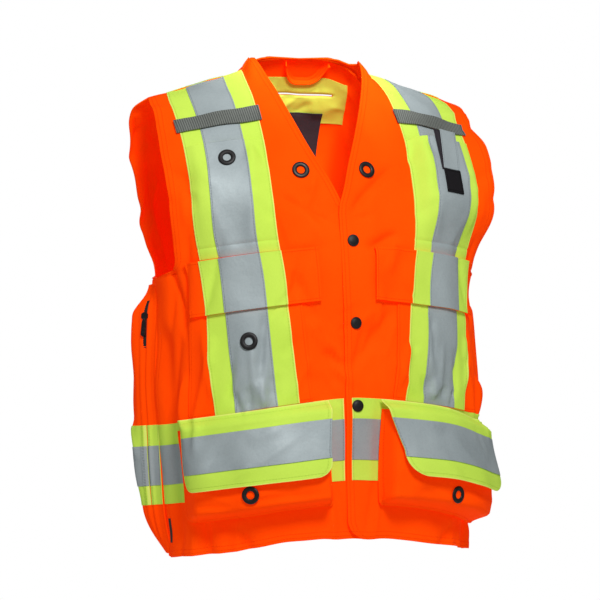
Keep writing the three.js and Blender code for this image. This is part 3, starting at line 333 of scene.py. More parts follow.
# Height, then place and reach across the pattern
HEM_RISE, HEM_DROP = (4.5, -90, 48), (5.0, 50, 140)
HEM_REACH = 55


def hollows(side, a, h):
    """The wearer's left side stands out above the waist, and the back tucks in below each armhole."""
    height, reach, place_up, reach_up = SIDE_FULLNESS
    to_seam = seam_at(side, h) - a
    out = height * np.exp(-((to_seam / reach) ** 2) - ((h - place_up) / reach_up) ** 2)
    if side == "back":
        depth, place, reach, place_up, reach_up = ARMHOLE_TUCK
        out = out - depth * np.exp(-(((np.abs(a) - place) / reach) ** 2) - ((h - place_up) / reach_up) ** 2)
    return out


def relief(side, hand, a, h):
    """Soft unevenness of the hung cloth that the solids leave out."""
    seed = 3 if side == "back" else (11 if hand > 0 else 17)
    soft = sum(height * waves(a, h * share, size, seed + more) for height, share, size, more in SOFT_WAVES)
    return soft + CREASE_DEPTH * creased(CREASES[side], a, h) + hollows(side, a, h)


def hem_lift(side, a, h):
    """How far the hem's line rises and falls."""
    rise = sum(height * waves(a, 0 * a, size, seed) for height, size, seed in HEM_WAVES)
    if side == "front":
        height, place, reach = HEM_RISE
        drop, start, run = HEM_DROP
        rise = rise + height * np.exp(-(((a - place) / reach) ** 2)) - drop * smooth((a - start) / run)
    return rise * np.exp(-((h / HEM_REACH) ** 2))


def cloth(side, hand):
    """Places points of the pattern, d outside its panel."""
    def at(a, h, d):
        rise = fold_at(side, a, h) + crossing(side, hand, a) + relief(side, hand, a, h) + d
        points = body(side, a, h) + outward(side, a, h) * rise[..., None]
        points[..., 2] += hem_lift(side, a, h)
        return points
    return at


def column(rows):
    """A boundary of the pattern as a function of height, smooth through its rows of height and place."""
    rows = sorted(rows)
    hs, vs = np.array([r[0] for r in rows], float), np.array([r[1] for r in rows], float)
    steps = np.diff(vs) / np.diff(hs)
    slopes = np.concatenate([steps[:1], (steps[1:] + steps[:-1]) / 2, steps[-1:]])
    after, before = np.append(steps, steps[-1]), np.insert(steps, 0, steps[0])
    limit = 2.5 * np.minimum(np.abs(after), np.abs(before))
    turning = after * before < 0
    slopes = np.where(turning, 0, np.sign(slopes) * np.minimum(np.abs(slopes), limit))

    def at(h):
        h = np.clip(h, hs[0], hs[-1])
        i = np.clip(np.searchsorted(hs, h, side="right") - 1, 0, len(hs) - 2)
        w = hs[i + 1] - hs[i]
        f = (h - hs[i]) / w
        return ((2 * f**3 - 3 * f**2 + 1) * vs[i] + (f**3 - 2 * f**2 + f) * w * slopes[i]
                + (-2 * f**3 + 3 * f**2) * vs[i + 1] + (f**3 - f**2) * w * slopes[i + 1])
    return at


PIECES, HELD = {}, {}
# Added to the rim distance of faces on the inside of a cloth, in mm
INSIDE = 10000.0


def finish_mesh(name, points, faces, uv, rim, material):
    """Makes a piece from points in mm, with its place in the pattern and its distance from the edges."""
    mesh = bpy.data.meshes.new(name)
    mesh.from_pydata((np.asarray(points) - [0, 0, ORIGIN_Z]).tolist(), [], faces)
    mesh.transform(Matrix.Scale(0.001, 4))
    loops = np.empty(len(mesh.loops), int)
    mesh.loops.foreach_get("vertex_index", loops)
    for layer_name, values in (("cloth", uv), ("rim", rim)):
        if values is None:
            continue
        layer = mesh.uv_layers.new(name=layer_name)
        layer.data.foreach_set("uv", (np.asarray(values)[loops] * 0.001).ravel())
    mesh.materials.append(material)
    mesh.polygons.foreach_set("use_smooth", [True] * len(mesh.polygons))
    obj = bpy.data.objects.new(name, mesh)
    bpy.context.scene.collection.objects.link(obj)
    PIECES[name] = obj
    return obj


def fine(start, stop, step, extra=()):
    """Rows or columns about step apart, with the extra places among them."""
    marks = sorted({start, stop, *[e for e in extra if start < e < stop]})
    out = []
    for p, q in zip(marks, marks[1:]):
        n = max(1, round((q - p) / step))
        out += list(np.linspace(p, q, n + 1)[:-1])
    return np.array(out + [stop])


def edged(marks, inset=0.7):
    """The same marks with one more close to each end, so that edges stay crisp."""
    marks = np.asarray(marks, float)
    inset = min(inset, (marks[1] - marks[0]) / 2)
    return np.concatenate([marks[:1], [marks[0] + inset], marks[1:-1], [marks[-1] - inset], marks[-1:]])


def filled(value, *places):
    """A number, or a function of these places, as an array."""
    return value(*places) if callable(value) else np.full(np.shape(places[0]), float(value))


def grid_quads(rows, columns):
    ids = np.arange(rows * columns).reshape(rows, columns)
    return np.stack([ids[:-1, :-1], ids[:-1, 1:], ids[1:, 1:], ids[1:, :-1]], -1).reshape(-1, 4)


def closed(quads, count):
    """Faces of an upper sheet, its lower copy, whose points come count later, and the walls between them."""
    edges = np.concatenate([quads[:, [k, (k + 1) % 4]] for k in range(4)])
    keys = np.sort(edges, 1)
    keys = keys[:, 0] * count + keys[:, 1]
    _, inverse, uses = np.unique(keys, return_inverse=True, return_counts=True)
    border = edges[uses[inverse.ravel()] == 1]
    start, end = border[:, 0], border[:, 1]
    walls = np.stack([end, start, start + count, end + count], -1)
    return np.concatenate([quads, quads[:, ::-1] + count, walls])


def sheet(name, side, hand, left, right, rows, columns, low, high, material, on=(), held="laid", flat=None,
          area=None, at=None, hole=None, roll=0.0, roll_width=1.2, seamless=False, measure=None):
    """A closed sheet of cloth between two boundaries, each a number or a function of height.

    It lies between low and high off the panel, and is thicker by roll near its edges. The pieces it
    rests on, laid or hung, are only noted in HELD. At places points, hole leaves faces out, and measure tells
    real widths."""
    at = at or cloth(side, hand)
    u, rows = edged(columns), edged(rows)
    u = (u - u[0]) / (u[-1] - u[0])
    h = np.repeat(rows[:, None], len(u), 1)
    start, end = filled(left, h), filled(right, h)
    a = start + (end - start) * u[None, :]
    sign = hand if hand else 1
    measure = measure or (lambda x, y: cloth_across(side, x, y))
    true_a, true_start, true_end = measure(a, h), measure(start, h), measure(end, h)
    inner = true_a - true_start
    if seamless:
        inner = np.where(start <= 0, 1000.0, inner)
    rim = np.stack([np.minimum(inner, true_end - true_a), np.minimum(h - h.min(), h.max() - h)], -1)
    rolled = roll * (1 - smooth((rim.min(-1) - roll_width) / (0.25 * roll_width + 0.6)))
    rim = rim.reshape(-1, 2)
    a = a * sign
    top = at(a, h, rolled + filled(high, a, h)).reshape(-1, 3)
    bottom = at(a, h, filled(low, a, h)).reshape(-1, 3)
    uv = np.stack([true_a * sign, h], -1).reshape(-1, 2)
    quads = grid_quads(*h.shape)
    if hole is not None:
        centre = np.stack([a, h], -1).reshape(-1, 2)[quads].mean(1)
        quads = quads[~hole(centre[:, 0], centre[:, 1])]
    if (sign < 0) != (side == "back"):
        quads = quads[:, ::-1]
    faces = closed(quads, len(top))
    used = np.zeros(2 * len(top), bool)
    used[np.unique(faces)] = True
    faces = (np.cumsum(used) - 1)[faces].tolist()
    points, uvs = np.concatenate([top, bottom])[used], np.concatenate([uv, uv])[used]
    rims = np.concatenate([rim, rim + [INSIDE, 0]])[used]
    obj = finish_mesh(name, points, faces, uvs, rims, material)
    widths = (true_end - true_start)[:, 0]
    obj["flat"] = [float((true_end - true_start).max()) / 1000, float(h.max() - h.min()) / 1000]
    obj["flat_area"] = float(np.sum((widths[1:] + widths[:-1]) / 2 * np.diff(rows))) / 1e6
    if on:
        HELD[name] = (held, on, flat, area)
    return obj


# Materials
def colour(r, g, b):
    linear = [((c / 255 + 0.055) / 1.055) ** 2.4 if c > 10 else c / 255 / 12.92 for c in (r, g, b)]
    return (*linear, 1.0)


class Nodes:
    """Small helper that wires shader nodes."""

    def __init__(self, name):
        self.material = bpy.data.materials.new(name)
        self.material.use_nodes = True
        self.tree = self.material.node_tree
        self.shader = self.tree.nodes["Principled BSDF"]

    def add(self, kind, **values):
        node = self.tree.nodes.new(kind)
        for key, value in values.items():
            setattr(node, key, value)
        return node

    def link(self, source, target):
        self.tree.links.new(source, target)

    def put(self, socket, value):
        if hasattr(value, "is_output"):
            self.link(value, socket)
        else:
            socket.default_value = value

    def math(self, operation, a, b=0.0, c=None):
        node = self.add("ShaderNodeMath", operation=operation)
        self.put(node.inputs[0], a)
        self.put(node.inputs[1], b)
        if c is not None:
            self.put(node.inputs[2], c)
        return node.outputs[0]

    def uv(self, name):
        split = self.add("ShaderNodeSeparateXYZ")
        self.link(self.add("ShaderNodeUVMap", uv_map=name).outputs[0], split.inputs[0])
        return split.outputs[0], split.outputs[1]

    def noise(self, scale, detail=3.0, rough=0.5):
        node = self.add("ShaderNodeTexNoise")
        node.inputs["Scale"].default_value = scale
        node.inputs["Detail"].default_value = detail
        node.inputs["Roughness"].default_value = rough
        self.link(self.add("ShaderNodeTexCoord").outputs["Object"], node.inputs["Vector"])
        return node.outputs["Fac"]

    def ramp(self, value, low, high, to_low=0.0, to_high=1.0):
        node = self.add("ShaderNodeMapRange", interpolation_type="SMOOTHSTEP")
        for i, v in enumerate((value, low, high, to_low, to_high)):
            self.put(node.inputs[i], v)
        return node.outputs[0]

    def mix(self, share, a, b):
        node = self.add("ShaderNodeMix", data_type="RGBA")
        self.put(node.inputs[0], share)
        self.put(node.inputs[6], a)
        self.put(node.inputs[7], b)
        return node.outputs[2]

    def bump(self, height, distance, strength=1.0, before=None):
        node = self.add("ShaderNodeBump")
        node.inputs["Strength"].default_value = strength
        node.inputs["Distance"].default_value = distance
        self.link(height, node.inputs["Height"])
        if before is not None:
            self.link(before, node.inputs["Normal"])
        return node.outputs[0]


def wave(nodes, value, pitch):
    return nodes.math("SINE", nodes.math("MULTIPLY", value, 2 * math.pi / pitch))


def weave(nodes, pitch, ribs=None):
    """Threads from the pattern's own coordinates, 0 to 1: a plain weave, or ribs across the piece."""
    x, y = nodes.uv("cloth")
    if ribs:
        return nodes.math("MULTIPLY_ADD", wave(nodes, x, ribs), 0.5, 0.5)
    over, under = wave(nodes, x, pitch), wave(nodes, y, pitch)
    return nodes.math("MULTIPLY_ADD", nodes.math("MULTIPLY", over, under), 0.5, 0.5)


def stitches(nodes, places, width=0.0007, pitch=0.0036, ends=True):
    """Rows of stitching at these distances inside the borders, 0 to 1."""
    x, y = nodes.uv("rim")
    u, v = nodes.uv("cloth")
    total = None
    rows = [(x, d, v) for d in places] + ([(y, d, u) for d in places] if ends else [])
    for axis, distance, along in rows:
        near = nodes.ramp(nodes.math("ABSOLUTE", nodes.math("SUBTRACT", axis, distance)), width, width * 0.35)
        row = nodes.math("MULTIPLY", near, nodes.ramp(wave(nodes, along, pitch), -0.75, -0.2, 0.3, 1.0))
        total = row if total is None else nodes.math("MAXIMUM", total, row)
    return total


# Share of the painted glow left on the inside of the garment, as painted shade there, and the distances that
# tell its inside from its outside
SHADED_INSIDE_GLOW, INSIDE_FROM, INSIDE_TO = 0.5, 5.0, 6.0


def fabric(name, base, dark, rough=0.85, sheen=0.06, glow=None, pitch=0.0011, seams=(), ends=True,
           specular=0.04, metal=0.0, selvedge=None, ribs=None, thread=0.4, crumple=0.3):
    """Woven cloth or tape: colours from 0 to 255, lengths in metres, ribs in place of a plain weave."""
    nodes = Nodes(name)
    shader = nodes.shader
    threads = weave(nodes, pitch, ribs)
    broad = nodes.noise(9.0, 3.0, 0.55)
    grain = nodes.noise(420.0, 2.0, 0.6)
    shade = nodes.ramp(broad, 0.35, 0.7, 0.0, 0.35)
    shade = nodes.math("ADD", shade, nodes.ramp(threads, 0.6, 0.0, 0.0, 0.75 if ribs else 0.16))
    shade = nodes.math("ADD", shade, nodes.ramp(grain, 0.4, 0.7, 0.0, 0.12))
    height = nodes.math("MULTIPLY_ADD", threads, 0.5, nodes.math("MULTIPLY", grain, 0.4))
    normal = nodes.bump(nodes.noise(48.0, 3.0, 0.55), 0.0016, crumple)
    if seams:
        sewn = stitches(nodes, seams, ends=ends)
        shade = nodes.math("ADD", shade, nodes.math("MULTIPLY", sewn, thread))
        normal = nodes.bump(sewn, -0.0006, 0.8, normal)
    cloth_colour = nodes.mix(nodes.math("MINIMUM", shade, 1.0), colour(*base), colour(*dark))
    if selvedge:
        x, y = nodes.uv("rim")
        away = nodes.math("MINIMUM", x, y) if ends else x
        edge = nodes.ramp(away, 0.0016, 0.0009)
        cloth_colour = nodes.mix(edge, cloth_colour, colour(*selvedge))
    nodes.link(cloth_colour, shader.inputs["Base Color"])
    normal = nodes.bump(height, 0.0008 if ribs else 0.0002, 0.6 if ribs else 0.35, normal)
    nodes.link(normal, shader.inputs["Normal"])
    nodes.link(nodes.ramp(broad, 0.3, 0.7, rough - 0.06, rough + 0.06), shader.inputs["Roughness"])
    shader.inputs["Metallic"].default_value = metal
    shader.inputs["Specular IOR Level"].default_value = specular
    shader.inputs["Sheen Weight"].default_value = sheen
    shader.inputs["Sheen Roughness"].default_value = 0.5
    shader.inputs["Sheen Tint"].default_value = colour(*base)
    # Painted light: the glow is a constant emission, turned down on inside faces as painted shade
    if glow:
        shader.inputs["Emission Color"].default_value = (*glow, 1.0)
        across, _ = nodes.uv("rim")
        share = nodes.ramp(across, INSIDE_FROM, INSIDE_TO, 1.0, SHADED_INSIDE_GLOW)
        nodes.link(share, shader.inputs["Emission Strength"])
    return nodes.material


# Colours of the fluorescent dyes, and painted light: the glow is a constant emission that brightens the cloth,
# turned down inside the garment as painted shade
ORANGE_DYE_AND_GLOW = {"base": (243, 86, 1), "dark": (226, 68, 1), "glow": (0.42, 0.006, 0.0)}
LIME_DYE_AND_GLOW = {
    "base": (206, 234, 94), "dark": (186, 218, 76), "glow": (0.06, 0.12, 0.004), "selvedge": (228, 236, 122),
}
ORANGE = fabric("orange_cloth", seams=(0.0035, 0.0088), **ORANGE_DYE_AND_GLOW)
ORANGE_POCKET = fabric("orange_pocket_cloth", seams=(0.003,), **ORANGE_DYE_AND_GLOW)
LIME = fabric("lime_tape", rough=0.8, pitch=0.0009, seams=(0.0024,), ends=False, thread=0.25, **LIME_DYE_AND_GLOW)
LIME_FLAP = fabric("lime_flap", rough=0.8, pitch=0.0009, seams=(0.0045,), thread=0.25, **LIME_DYE_AND_GLOW)
SILVER = fabric("silver_tape", (176, 187, 189), (136, 147, 151), rough=0.58, sheen=0.0, pitch=0.0014,
                seams=(0.0018,), ends=False, specular=0.3, metal=0.16, crumple=0.6)
GREY = fabric("grey_webbing", (128, 132, 127), (72, 75, 72), rough=0.75, seams=(0.002,), ends=False,
              ribs=0.0028)
DARK = fabric("dark_cloth", (62, 58, 62), (30, 28, 32), rough=0.9, pitch=0.001, seams=(0.002,))
LOOPED = fabric("looped_patch", (38, 36, 38), (14, 14, 16), rough=0.95, pitch=0.0022, seams=(0.0022,),
                crumple=0.9)
TAG = fabric("tag_cloth", (92, 76, 70), (58, 48, 46), rough=0.85, pitch=0.0008)


def hardware(name, base, worn_to, rough, metal):
    nodes = Nodes(name)
    worn = nodes.ramp(nodes.noise(160.0, 4.0, 0.6), 0.55, 0.8)
    nodes.link(nodes.mix(worn, colour(*base), colour(*worn_to)), nodes.shader.inputs["Base Color"])
    nodes.link(nodes.ramp(nodes.noise(60.0), 0.3, 0.7, rough, rough + 0.2), nodes.shader.inputs["Roughness"])
    nodes.link(nodes.bump(nodes.noise(300.0), 0.0002, 0.25), nodes.shader.inputs["Normal"])
    nodes.shader.inputs["Metallic"].default_value = metal
    return nodes.material


BLACK = hardware("black_enamel", (14, 11, 13), (38, 30, 30), 0.42, 0.1)
ZIP_BLACK = hardware("zip_plastic", (34, 20, 18), (58, 40, 34), 0.5, 0.0)
PULL_BLACK = hardware("pull_enamel", (30, 26, 28), (80, 72, 70), 0.32, 0.5)

# Boundaries of the panels
def armhole(side, rows):
    top = TOPS[side] - 0.2
    seam_top = float(seam_at(side, ARMPIT)) - 0.2
    curve = [(ARMPIT, seam_top), (ARMPIT + 2.5, seam_top - 26), (ARMPIT + 6, seam_top - 44)]
    above = column([(up * top, out * ARMHOLE) for up, out in rows] + curve)

    def at(h):
        seam = seam_at(side, np.minimum(h, ARMPIT)) - 0.2
        return np.where(h <= ARMPIT, seam, above(np.maximum(h, ARMPIT)))
    return at


FRONT_OUT, BACK_OUT = armhole("front", ARMHOLE_FRONT), armhole("back", ARMHOLE_BACK)
FRONT_TOP, BACK_TOP = TOPS["front"] - 0.2, TOPS["back"] - 0.2
ARMPIT_ROWS = [ARMPIT + more for more in (0, 0.8, 1.6, 2.5, 4, 6, 8)]


def neckline(rows, lower):
    edge = column([(NECK_V + up * (FRONT_TOP - NECK_V), share * NECK_HALF) for up, share in rows])
    below = column(lower)
    return lambda h: np.where(h < NECK_V, below(np.minimum(h, NECK_V)), edge(np.maximum(h, NECK_V)))


RIGHT_IN = neckline(NECK_RIGHT, [(0, -UNDER_EDGE), (NECK_V - 18, -UNDER_EDGE), (NECK_V, 0.1 * NECK_HALF)])
LEFT_CUT = [
    (0, 9), (2, 4), (7, -4), (14, -8.5), (22, -FRONT_EDGE),
    (NECK_V - 14, -FRONT_EDGE), (NECK_V, -FRONT_EDGE + 1),
]
LEFT_IN = neckline(NECK_LEFT, LEFT_CUT)
FRONT_ROWS = fine(0, FRONT_TOP, 3.4, [7, 14, 22, *ARMPIT_ROWS, NECK_V - 18, NECK_V])
HANDS = (("right", -1), ("left", 1))
HEM = {"roll": 0.6, "roll_width": 8.5}
for (hand_name, hand), inner_edge in zip(HANDS, (RIGHT_IN, LEFT_IN)):
    sheet(f"front_{hand_name}_cloth", "front", hand, inner_edge, FRONT_OUT, FRONT_ROWS, fine(0, 280, 3.4),
          *PANEL, ORANGE, on=["back_cloth"], held="hung", **HEM)


def back_rim(h):
    """Neck edge of the back: nothing is cut below its lowest point."""
    rows = sorted((TOPS["back"] - down, share * NECK_HALF) for down, share in NECK_BACK)
    hs, vs = [r[0] for r in rows], [r[1] for r in rows]
    return np.interp(h, hs, vs, left=0.0)


def in_slit(a, h):
    return (np.abs(a - 0.5) < SLIT_HALF) & (h > SLIT_BOTTOM) & (h < SLIT_TOP)


def join_halves(name, halves):
    """Joins mirrored halves along the middle, without the walls between them."""
    mesh = bmesh.new()
    for half in halves:
        mesh.from_mesh(half.data)
    bmesh.ops.remove_doubles(mesh, verts=mesh.verts, dist=2e-5)
    inner = [f for f in mesh.faces if all(abs(v.co.x) < 2e-5 for v in f.verts)]
    bmesh.ops.delete(mesh, geom=inner, context="FACES")
    first = halves[0]
    mesh.to_mesh(first.data)
    mesh.free()
    area = first["flat_area"] + halves[1]["flat_area"]
    first["flat"] = [2 * first["flat"][0], first["flat"][1]]
    first["flat_area"] = area
    PIECES.pop(halves[1].name)
    PIECES.pop(first.name)
    bpy.data.objects.remove(halves[1])
    first.name = name
    PIECES[name] = first


# The back is made in two halves that share the middle, joined into one mesh
BACK_MARKS = [SLIT_BOTTOM, SLIT_TOP, *ARMPIT_ROWS, TOPS["back"] - 22, TOPS["back"] - 21]
BACK_ROWS = fine(0, BACK_TOP, 3.6, BACK_MARKS)
back_halves = []
for hand in (-1, 1):
    half = sheet(f"back_cloth_{hand}", "back", hand, back_rim, BACK_OUT, BACK_ROWS, fine(0, 1, 1 / 68),
                 *PANEL, ORANGE, at=cloth("back", 1), hole=in_slit, seamless=True, **HEM)
    back_halves.append(half)
join_halves("back_cloth", back_halves)
HELD["back_cloth"] = ("hung", ["front_right_cloth", "front_left_cloth"], None, None)

# Inside the back of the neck
INNER = cloth("back", 1)
facing_rows = fine(FACING_BOTTOM, FACING_TOP, 2.6, [SLIT_BOTTOM, SLIT_TOP])
facing_columns = fine(-FACING_HALF, FACING_HALF, 2.4, [-SLIT_HALF, SLIT_HALF])


def lip(a, h):
    """The facing stands proud along the upper lip of its slit."""
    across = smooth((SLIT_HALF + 4 - np.abs(a)) / 6)
    return -0.9 * across * np.exp(-(((h - SLIT_TOP - 3) / 3.2) ** 2))


sheet("slit_facing_cloth", "back", 0, -FACING_HALF, FACING_HALF, facing_rows, facing_columns,
      lambda a, h: lip(a, h) - 2.8, lambda a, h: lip(a, h) - 1.7, LIME, at=INNER,
      hole=in_slit, on=["back_cloth"])


def label_bow(a, h):
    up = (h - LABEL_BOTTOM) / (LABEL_TOP - LABEL_BOTTOM)
    return -3.6 - 1.6 * np.sin(up * math.pi * 0.5) - 0.5 * waves(a, h, 40, 77)


sheet("neck_label_cloth", "back", 0, *LABEL_SPAN, fine(LABEL_BOTTOM, LABEL_TOP, 3), fine(*LABEL_SPAN, 3),
      lambda a, h: label_bow(a, h) - 0.8, label_bow, DARK, at=INNER, on=["slit_facing_cloth"], held="hung")


def ribbon(name, path, width, thick, across_way, material):
    """A flat strip along a path of points in mm, with its width along a direction."""
    path = np.asarray(path, float)
    tangent = np.gradient(path, axis=0)
    tangent /= np.linalg.norm(tangent, axis=1, keepdims=True)
    side_way = np.cross(tangent, np.broadcast_to(np.asarray(across_way, float), path.shape))
    side_way /= np.linalg.norm(side_way, axis=1, keepdims=True)
    normal = np.cross(side_way, tangent)
    run = np.concatenate([[0], np.cumsum(np.linalg.norm(np.diff(path, axis=0), axis=1))])
    across = np.linspace(-0.5, 0.5, 8)
    grid = path[:, None] + normal[:, None] * (across[None, :, None] * width)
    half = side_way[:, None] * (thick / 2 * (1 + 0.5 * (np.abs(across) > 0.3)))[None, :, None]
    top, bottom = (grid + half).reshape(-1, 3), (grid - half).reshape(-1, 3)
    nr, nc = len(path), len(across)
    faces = closed(grid_quads(nr, nc), nr * nc).tolist()
    x, y = np.meshgrid(across, run)
    uv = np.stack([x * width, y], -1).reshape(-1, 2)
    rim = np.stack([(0.5 - np.abs(x)) * width, np.minimum(y, run[-1] - y)], -1).reshape(-1, 2)
    points, uv, rim = np.concatenate([top, bottom]), np.tile(uv, (2, 1)), np.tile(rim, (2, 1))
    obj = finish_mesh(name, points, faces, uv, rim, material)
    obj["flat"] = [width / 1000, float(run[-1]) / 1000]
    obj["flat_area"] = width * float(run[-1]) / 1e6
    return obj


LOOP_TOP, LOOP_BOTTOM = TOPS["back"] - 27, FACING_TOP - 3
turns = np.linspace(-1, 1, 49)
loop_a = LOOP_MIDDLE + 23 * np.sign(turns) * np.abs(turns) ** 0.8
loop_h = LOOP_BOTTOM + (LOOP_TOP - LOOP_BOTTOM) * np.abs(turns) ** 3.2
ribbon("hanging_loop_cloth", INNER(loop_a, loop_h, np.full(49, -5.2)), 10.0, 1.2, (0, 0, 1), ORANGE_POCKET)
HELD["hanging_loop_cloth"] = ("hung", ["back_cloth"], None, None)


# Tapes over the shoulders and down the fronts, pockets and flaps
def puffed(a, h):
    """Share of a chest pocket's depth."""
    across = np.clip((np.abs(a) - TAPE_INNER) / TAPE_WIDTH, 0, 1)
    up = np.clip((h - CHEST_SEAM) / (CHEST_POCKET_TOP - CHEST_SEAM), 0, 1)
    return smooth(across * 5) * smooth((1 - across) * 7) * smooth(up * 2.2)


def lift(base, extra):
    return lambda a, h: base(a, h) + extra


def groove(h, place, depth, width=1.6):
    return -depth * np.exp(-(((h - place) / width) ** 2))


def chest_face(depth):
    """Outer pocket cloth of the chest: a sewn line crosses it above the flap."""
    return lambda a, h: 0.3 + depth * puffed(a, h) + 0.9 + groove(h, CHEST_SEAM, 0.8)


def arched(a, h):
    """The webbing lifts a little between its ends."""
    return 1.9 + 1.2 * np.sin(np.clip((np.abs(a) - TAPE_INNER) / TAPE_WIDTH, 0, 1) * math.pi)


def side_end(h):
    return seam_at("front", h) - 0.3


TAPE_COLUMNS, SILVER_COLUMNS = fine(0, TAPE_WIDTH, 3.2), fine(0, SILVER_WIDTH, 3.2)
WAIST_COLUMNS = fine(0, 260, 3.4)
SHOULDER_ROWS = fine(CHEST_POCKET_TOP + 0.3, FRONT_TOP, 3.4)
CHEST_ROWS = fine(CHEST_POCKET_BOTTOM, CHEST_POCKET_TOP, 3.4, [CHEST_SEAM + k for k in range(-2, 3)])
LOW_ROWS, MID_FLAP_ROWS = fine(WAIST_TOP + 0.3, MID_POCKET_TOP, 3.2), fine(MID_FLAP_BOTTOM, MID_FLAP_TOP, 3.2)
WIDE, NARROW = (TAPE_INNER, TAPE_OUTER), (SILVER_INNER, SILVER_OUTER)
WEBBING = (TAPE_INNER - 3, TAPE_OUTER + 4)
MID_POCKET_SPAN = (MID_POCKET_INNER, column([(WAIST_TOP, MID_POCKET_FOOT), (MID_POCKET_TOP, MID_FLAP_OUTER)]))
PLAIN, BOUND = {}, {"roll": 0.25}
for hand_name, hand in HANDS:
    face = chest_face(CHEST_PUFF if hand < 0 else RADIO_DEPTH)
    waist_span = (FRONT_EDGE + 2 if hand < 0 else -FRONT_EDGE + 7, side_end)
    flap_span = (MID_FLAP_INNER[hand], MID_FLAP_OUTER)
    # Name, what it lies on, ends across, rows, columns, lower and upper face, material and edge
    front_pieces = (
        ("shoulder_tape", "front", WIDE, SHOULDER_ROWS, TAPE_COLUMNS, TAPE, LIME, BOUND),
        ("shoulder_silver", "shoulder_tape", NARROW, SHOULDER_ROWS, SILVER_COLUMNS, STRIP, SILVER, PLAIN),
        ("webbing_loop", "front", WEBBING, fine(WEBBING_BOTTOM, WEBBING_TOP, 2.5), fine(0, 108, 2.8),
         (arched, lift(arched, 1.7)), GREY, {"roll": 0.3, "held": "hung"}),
        ("chest_pocket", "front", WIDE, CHEST_ROWS, TAPE_COLUMNS,
         (lift(face, -0.9), face), LIME, {"roll": 0.3, "held": "hung"}),
        ("chest_silver", "chest_pocket", NARROW, CHEST_ROWS, SILVER_COLUMNS,
         (lift(face, 0.5), lift(face, 1.0)), SILVER, PLAIN),
        ("middle_pocket", "front", MID_POCKET_SPAN, LOW_ROWS, fine(0, 150, 3.4), MID_POCKET,
         ORANGE_POCKET, {"roll": 0.4, "roll_width": 4.5, "held": "hung"}),
        ("lower_tape", "middle_pocket", WIDE, LOW_ROWS, TAPE_COLUMNS, LOWER_TAPE, LIME, BOUND),
        ("lower_silver", "lower_tape", NARROW, LOW_ROWS, SILVER_COLUMNS, LOWER_STRIP, SILVER, PLAIN),
        ("middle_flap", "front", flap_span, MID_FLAP_ROWS, fine(0, 160, 3.4), MID_FLAP,
         ORANGE_POCKET, {"roll": 0.5, "roll_width": 4.5, "held": "hung"}),
        ("middle_flap_tape", "middle_flap", WIDE, MID_FLAP_ROWS, TAPE_COLUMNS, MID_FLAP_TAPE, LIME, BOUND),
        ("middle_flap_silver", "middle_flap_tape", NARROW, MID_FLAP_ROWS, SILVER_COLUMNS, MID_FLAP_STRIP,
         SILVER, PLAIN),
        ("waist_tape", "front", waist_span, fine(WAIST_BOTTOM, WAIST_TOP, 3.4), WAIST_COLUMNS, TAPE,
         LIME, BOUND),
        ("waist_silver", "waist_tape", waist_span, fine(WAIST_SILVER_BOTTOM, WAIST_SILVER_TOP, 3.4),
         WAIST_COLUMNS, STRIP, SILVER, PLAIN),
    )
    for kind, under, span, rows, columns, faces, material, edge in front_pieces:
        sheet(f"{kind}_{hand_name}_cloth", "front", hand, *span, rows, columns, *faces, material,
              on=[f"{under}_{hand_name}_cloth"], **edge)

# Radio strap and its patch
STRAP_BOTTOM, STRAP_TOP, STRAP_INNER, STRAP_WIDTH, STRAP_LEAN = 468.0, 528.0, TAPE_MIDDLE - 13, 25.4, 9.0
STRAP_IN = column([(STRAP_BOTTOM, STRAP_INNER), (STRAP_TOP, STRAP_INNER + STRAP_LEAN)])


def radio_face(a, h):
    return 0.3 + RADIO_DEPTH * puffed(a, np.minimum(h, CHEST_POCKET_TOP)) + 2.3


# Name, ends across, rows, columns, thickness, material and edge
STRAP_PIECES = (
    ("strap", (STRAP_IN, lambda h: STRAP_IN(h) + STRAP_WIDTH), fine(STRAP_BOTTOM, STRAP_TOP, 3),
     fine(0, 25.4, 2.5), 1.0, SILVER, PLAIN),
    ("strap_patch", (STRAP_INNER, STRAP_INNER + STRAP_WIDTH), fine(STRAP_BOTTOM - 31, STRAP_BOTTOM - 1, 2.5),
     fine(0, 25.4, 2.5), 1.3, LOOPED, {"roll": 0.3}),
    ("strap_edge", (lambda h: STRAP_IN(h) - 2.6 - 0.14 * (h - STRAP_BOTTOM), lambda h: STRAP_IN(h) + 0.6),
     fine(STRAP_BOTTOM - 2, STRAP_TOP - 3, 3), fine(0, 6, 1.2), 0.8, DARK, PLAIN),
)
for kind, span, rows, columns, thick, material, edge in STRAP_PIECES:
    sheet(f"radio_{kind}_cloth", "front", 1, *span, rows, columns, radio_face, lift(radio_face, thick),
          material, on=["chest_silver_left_cloth"], **edge)

# Bellows pockets at the hem
RIM = 2.9
FORWARD = {-1: 0.85, 1: 0.45}


def pocket_at(hand):
    base = cloth("front", hand)

    def at(a, height, d):
        h = height - HANG[hand] * smooth((np.abs(a) - 100) / 120)
        points = base(a, h, np.minimum(d, RIM))
        away = outward("front", a, h)
        k = (FORWARD[hand] * smooth((np.abs(a) - TAPE_INNER) / TAPE_WIDTH))[..., None]
        away = away * (1 - k) + np.array([0, -1.0, 0]) * k
        away /= np.linalg.norm(away, axis=-1, keepdims=True)
        return points + away * np.maximum(d - RIM, 0)[..., None]
    return at


POCKET_CREASES = {
    -1: scatter(41, 9, (45, 215), (48, 84), 8, (40, 110), (5, 9), (1.2, 3.4), 12),
    1: scatter(43, 9, (45, 215), (48, 84), -6, (40, 110), (5, 9), (1.2, 3.4), 12),
}
FLAP_CREASES = {
    -1: scatter(45, 11, (60, 215), (95, 165), 152, (50, 120), (5, 10), (0.8, 2.6), 14),
    1: scatter(47, 11, (55, 215), (95, 165), 150, (40, 110), (5, 10), (0.8, 2.4), 18),
}


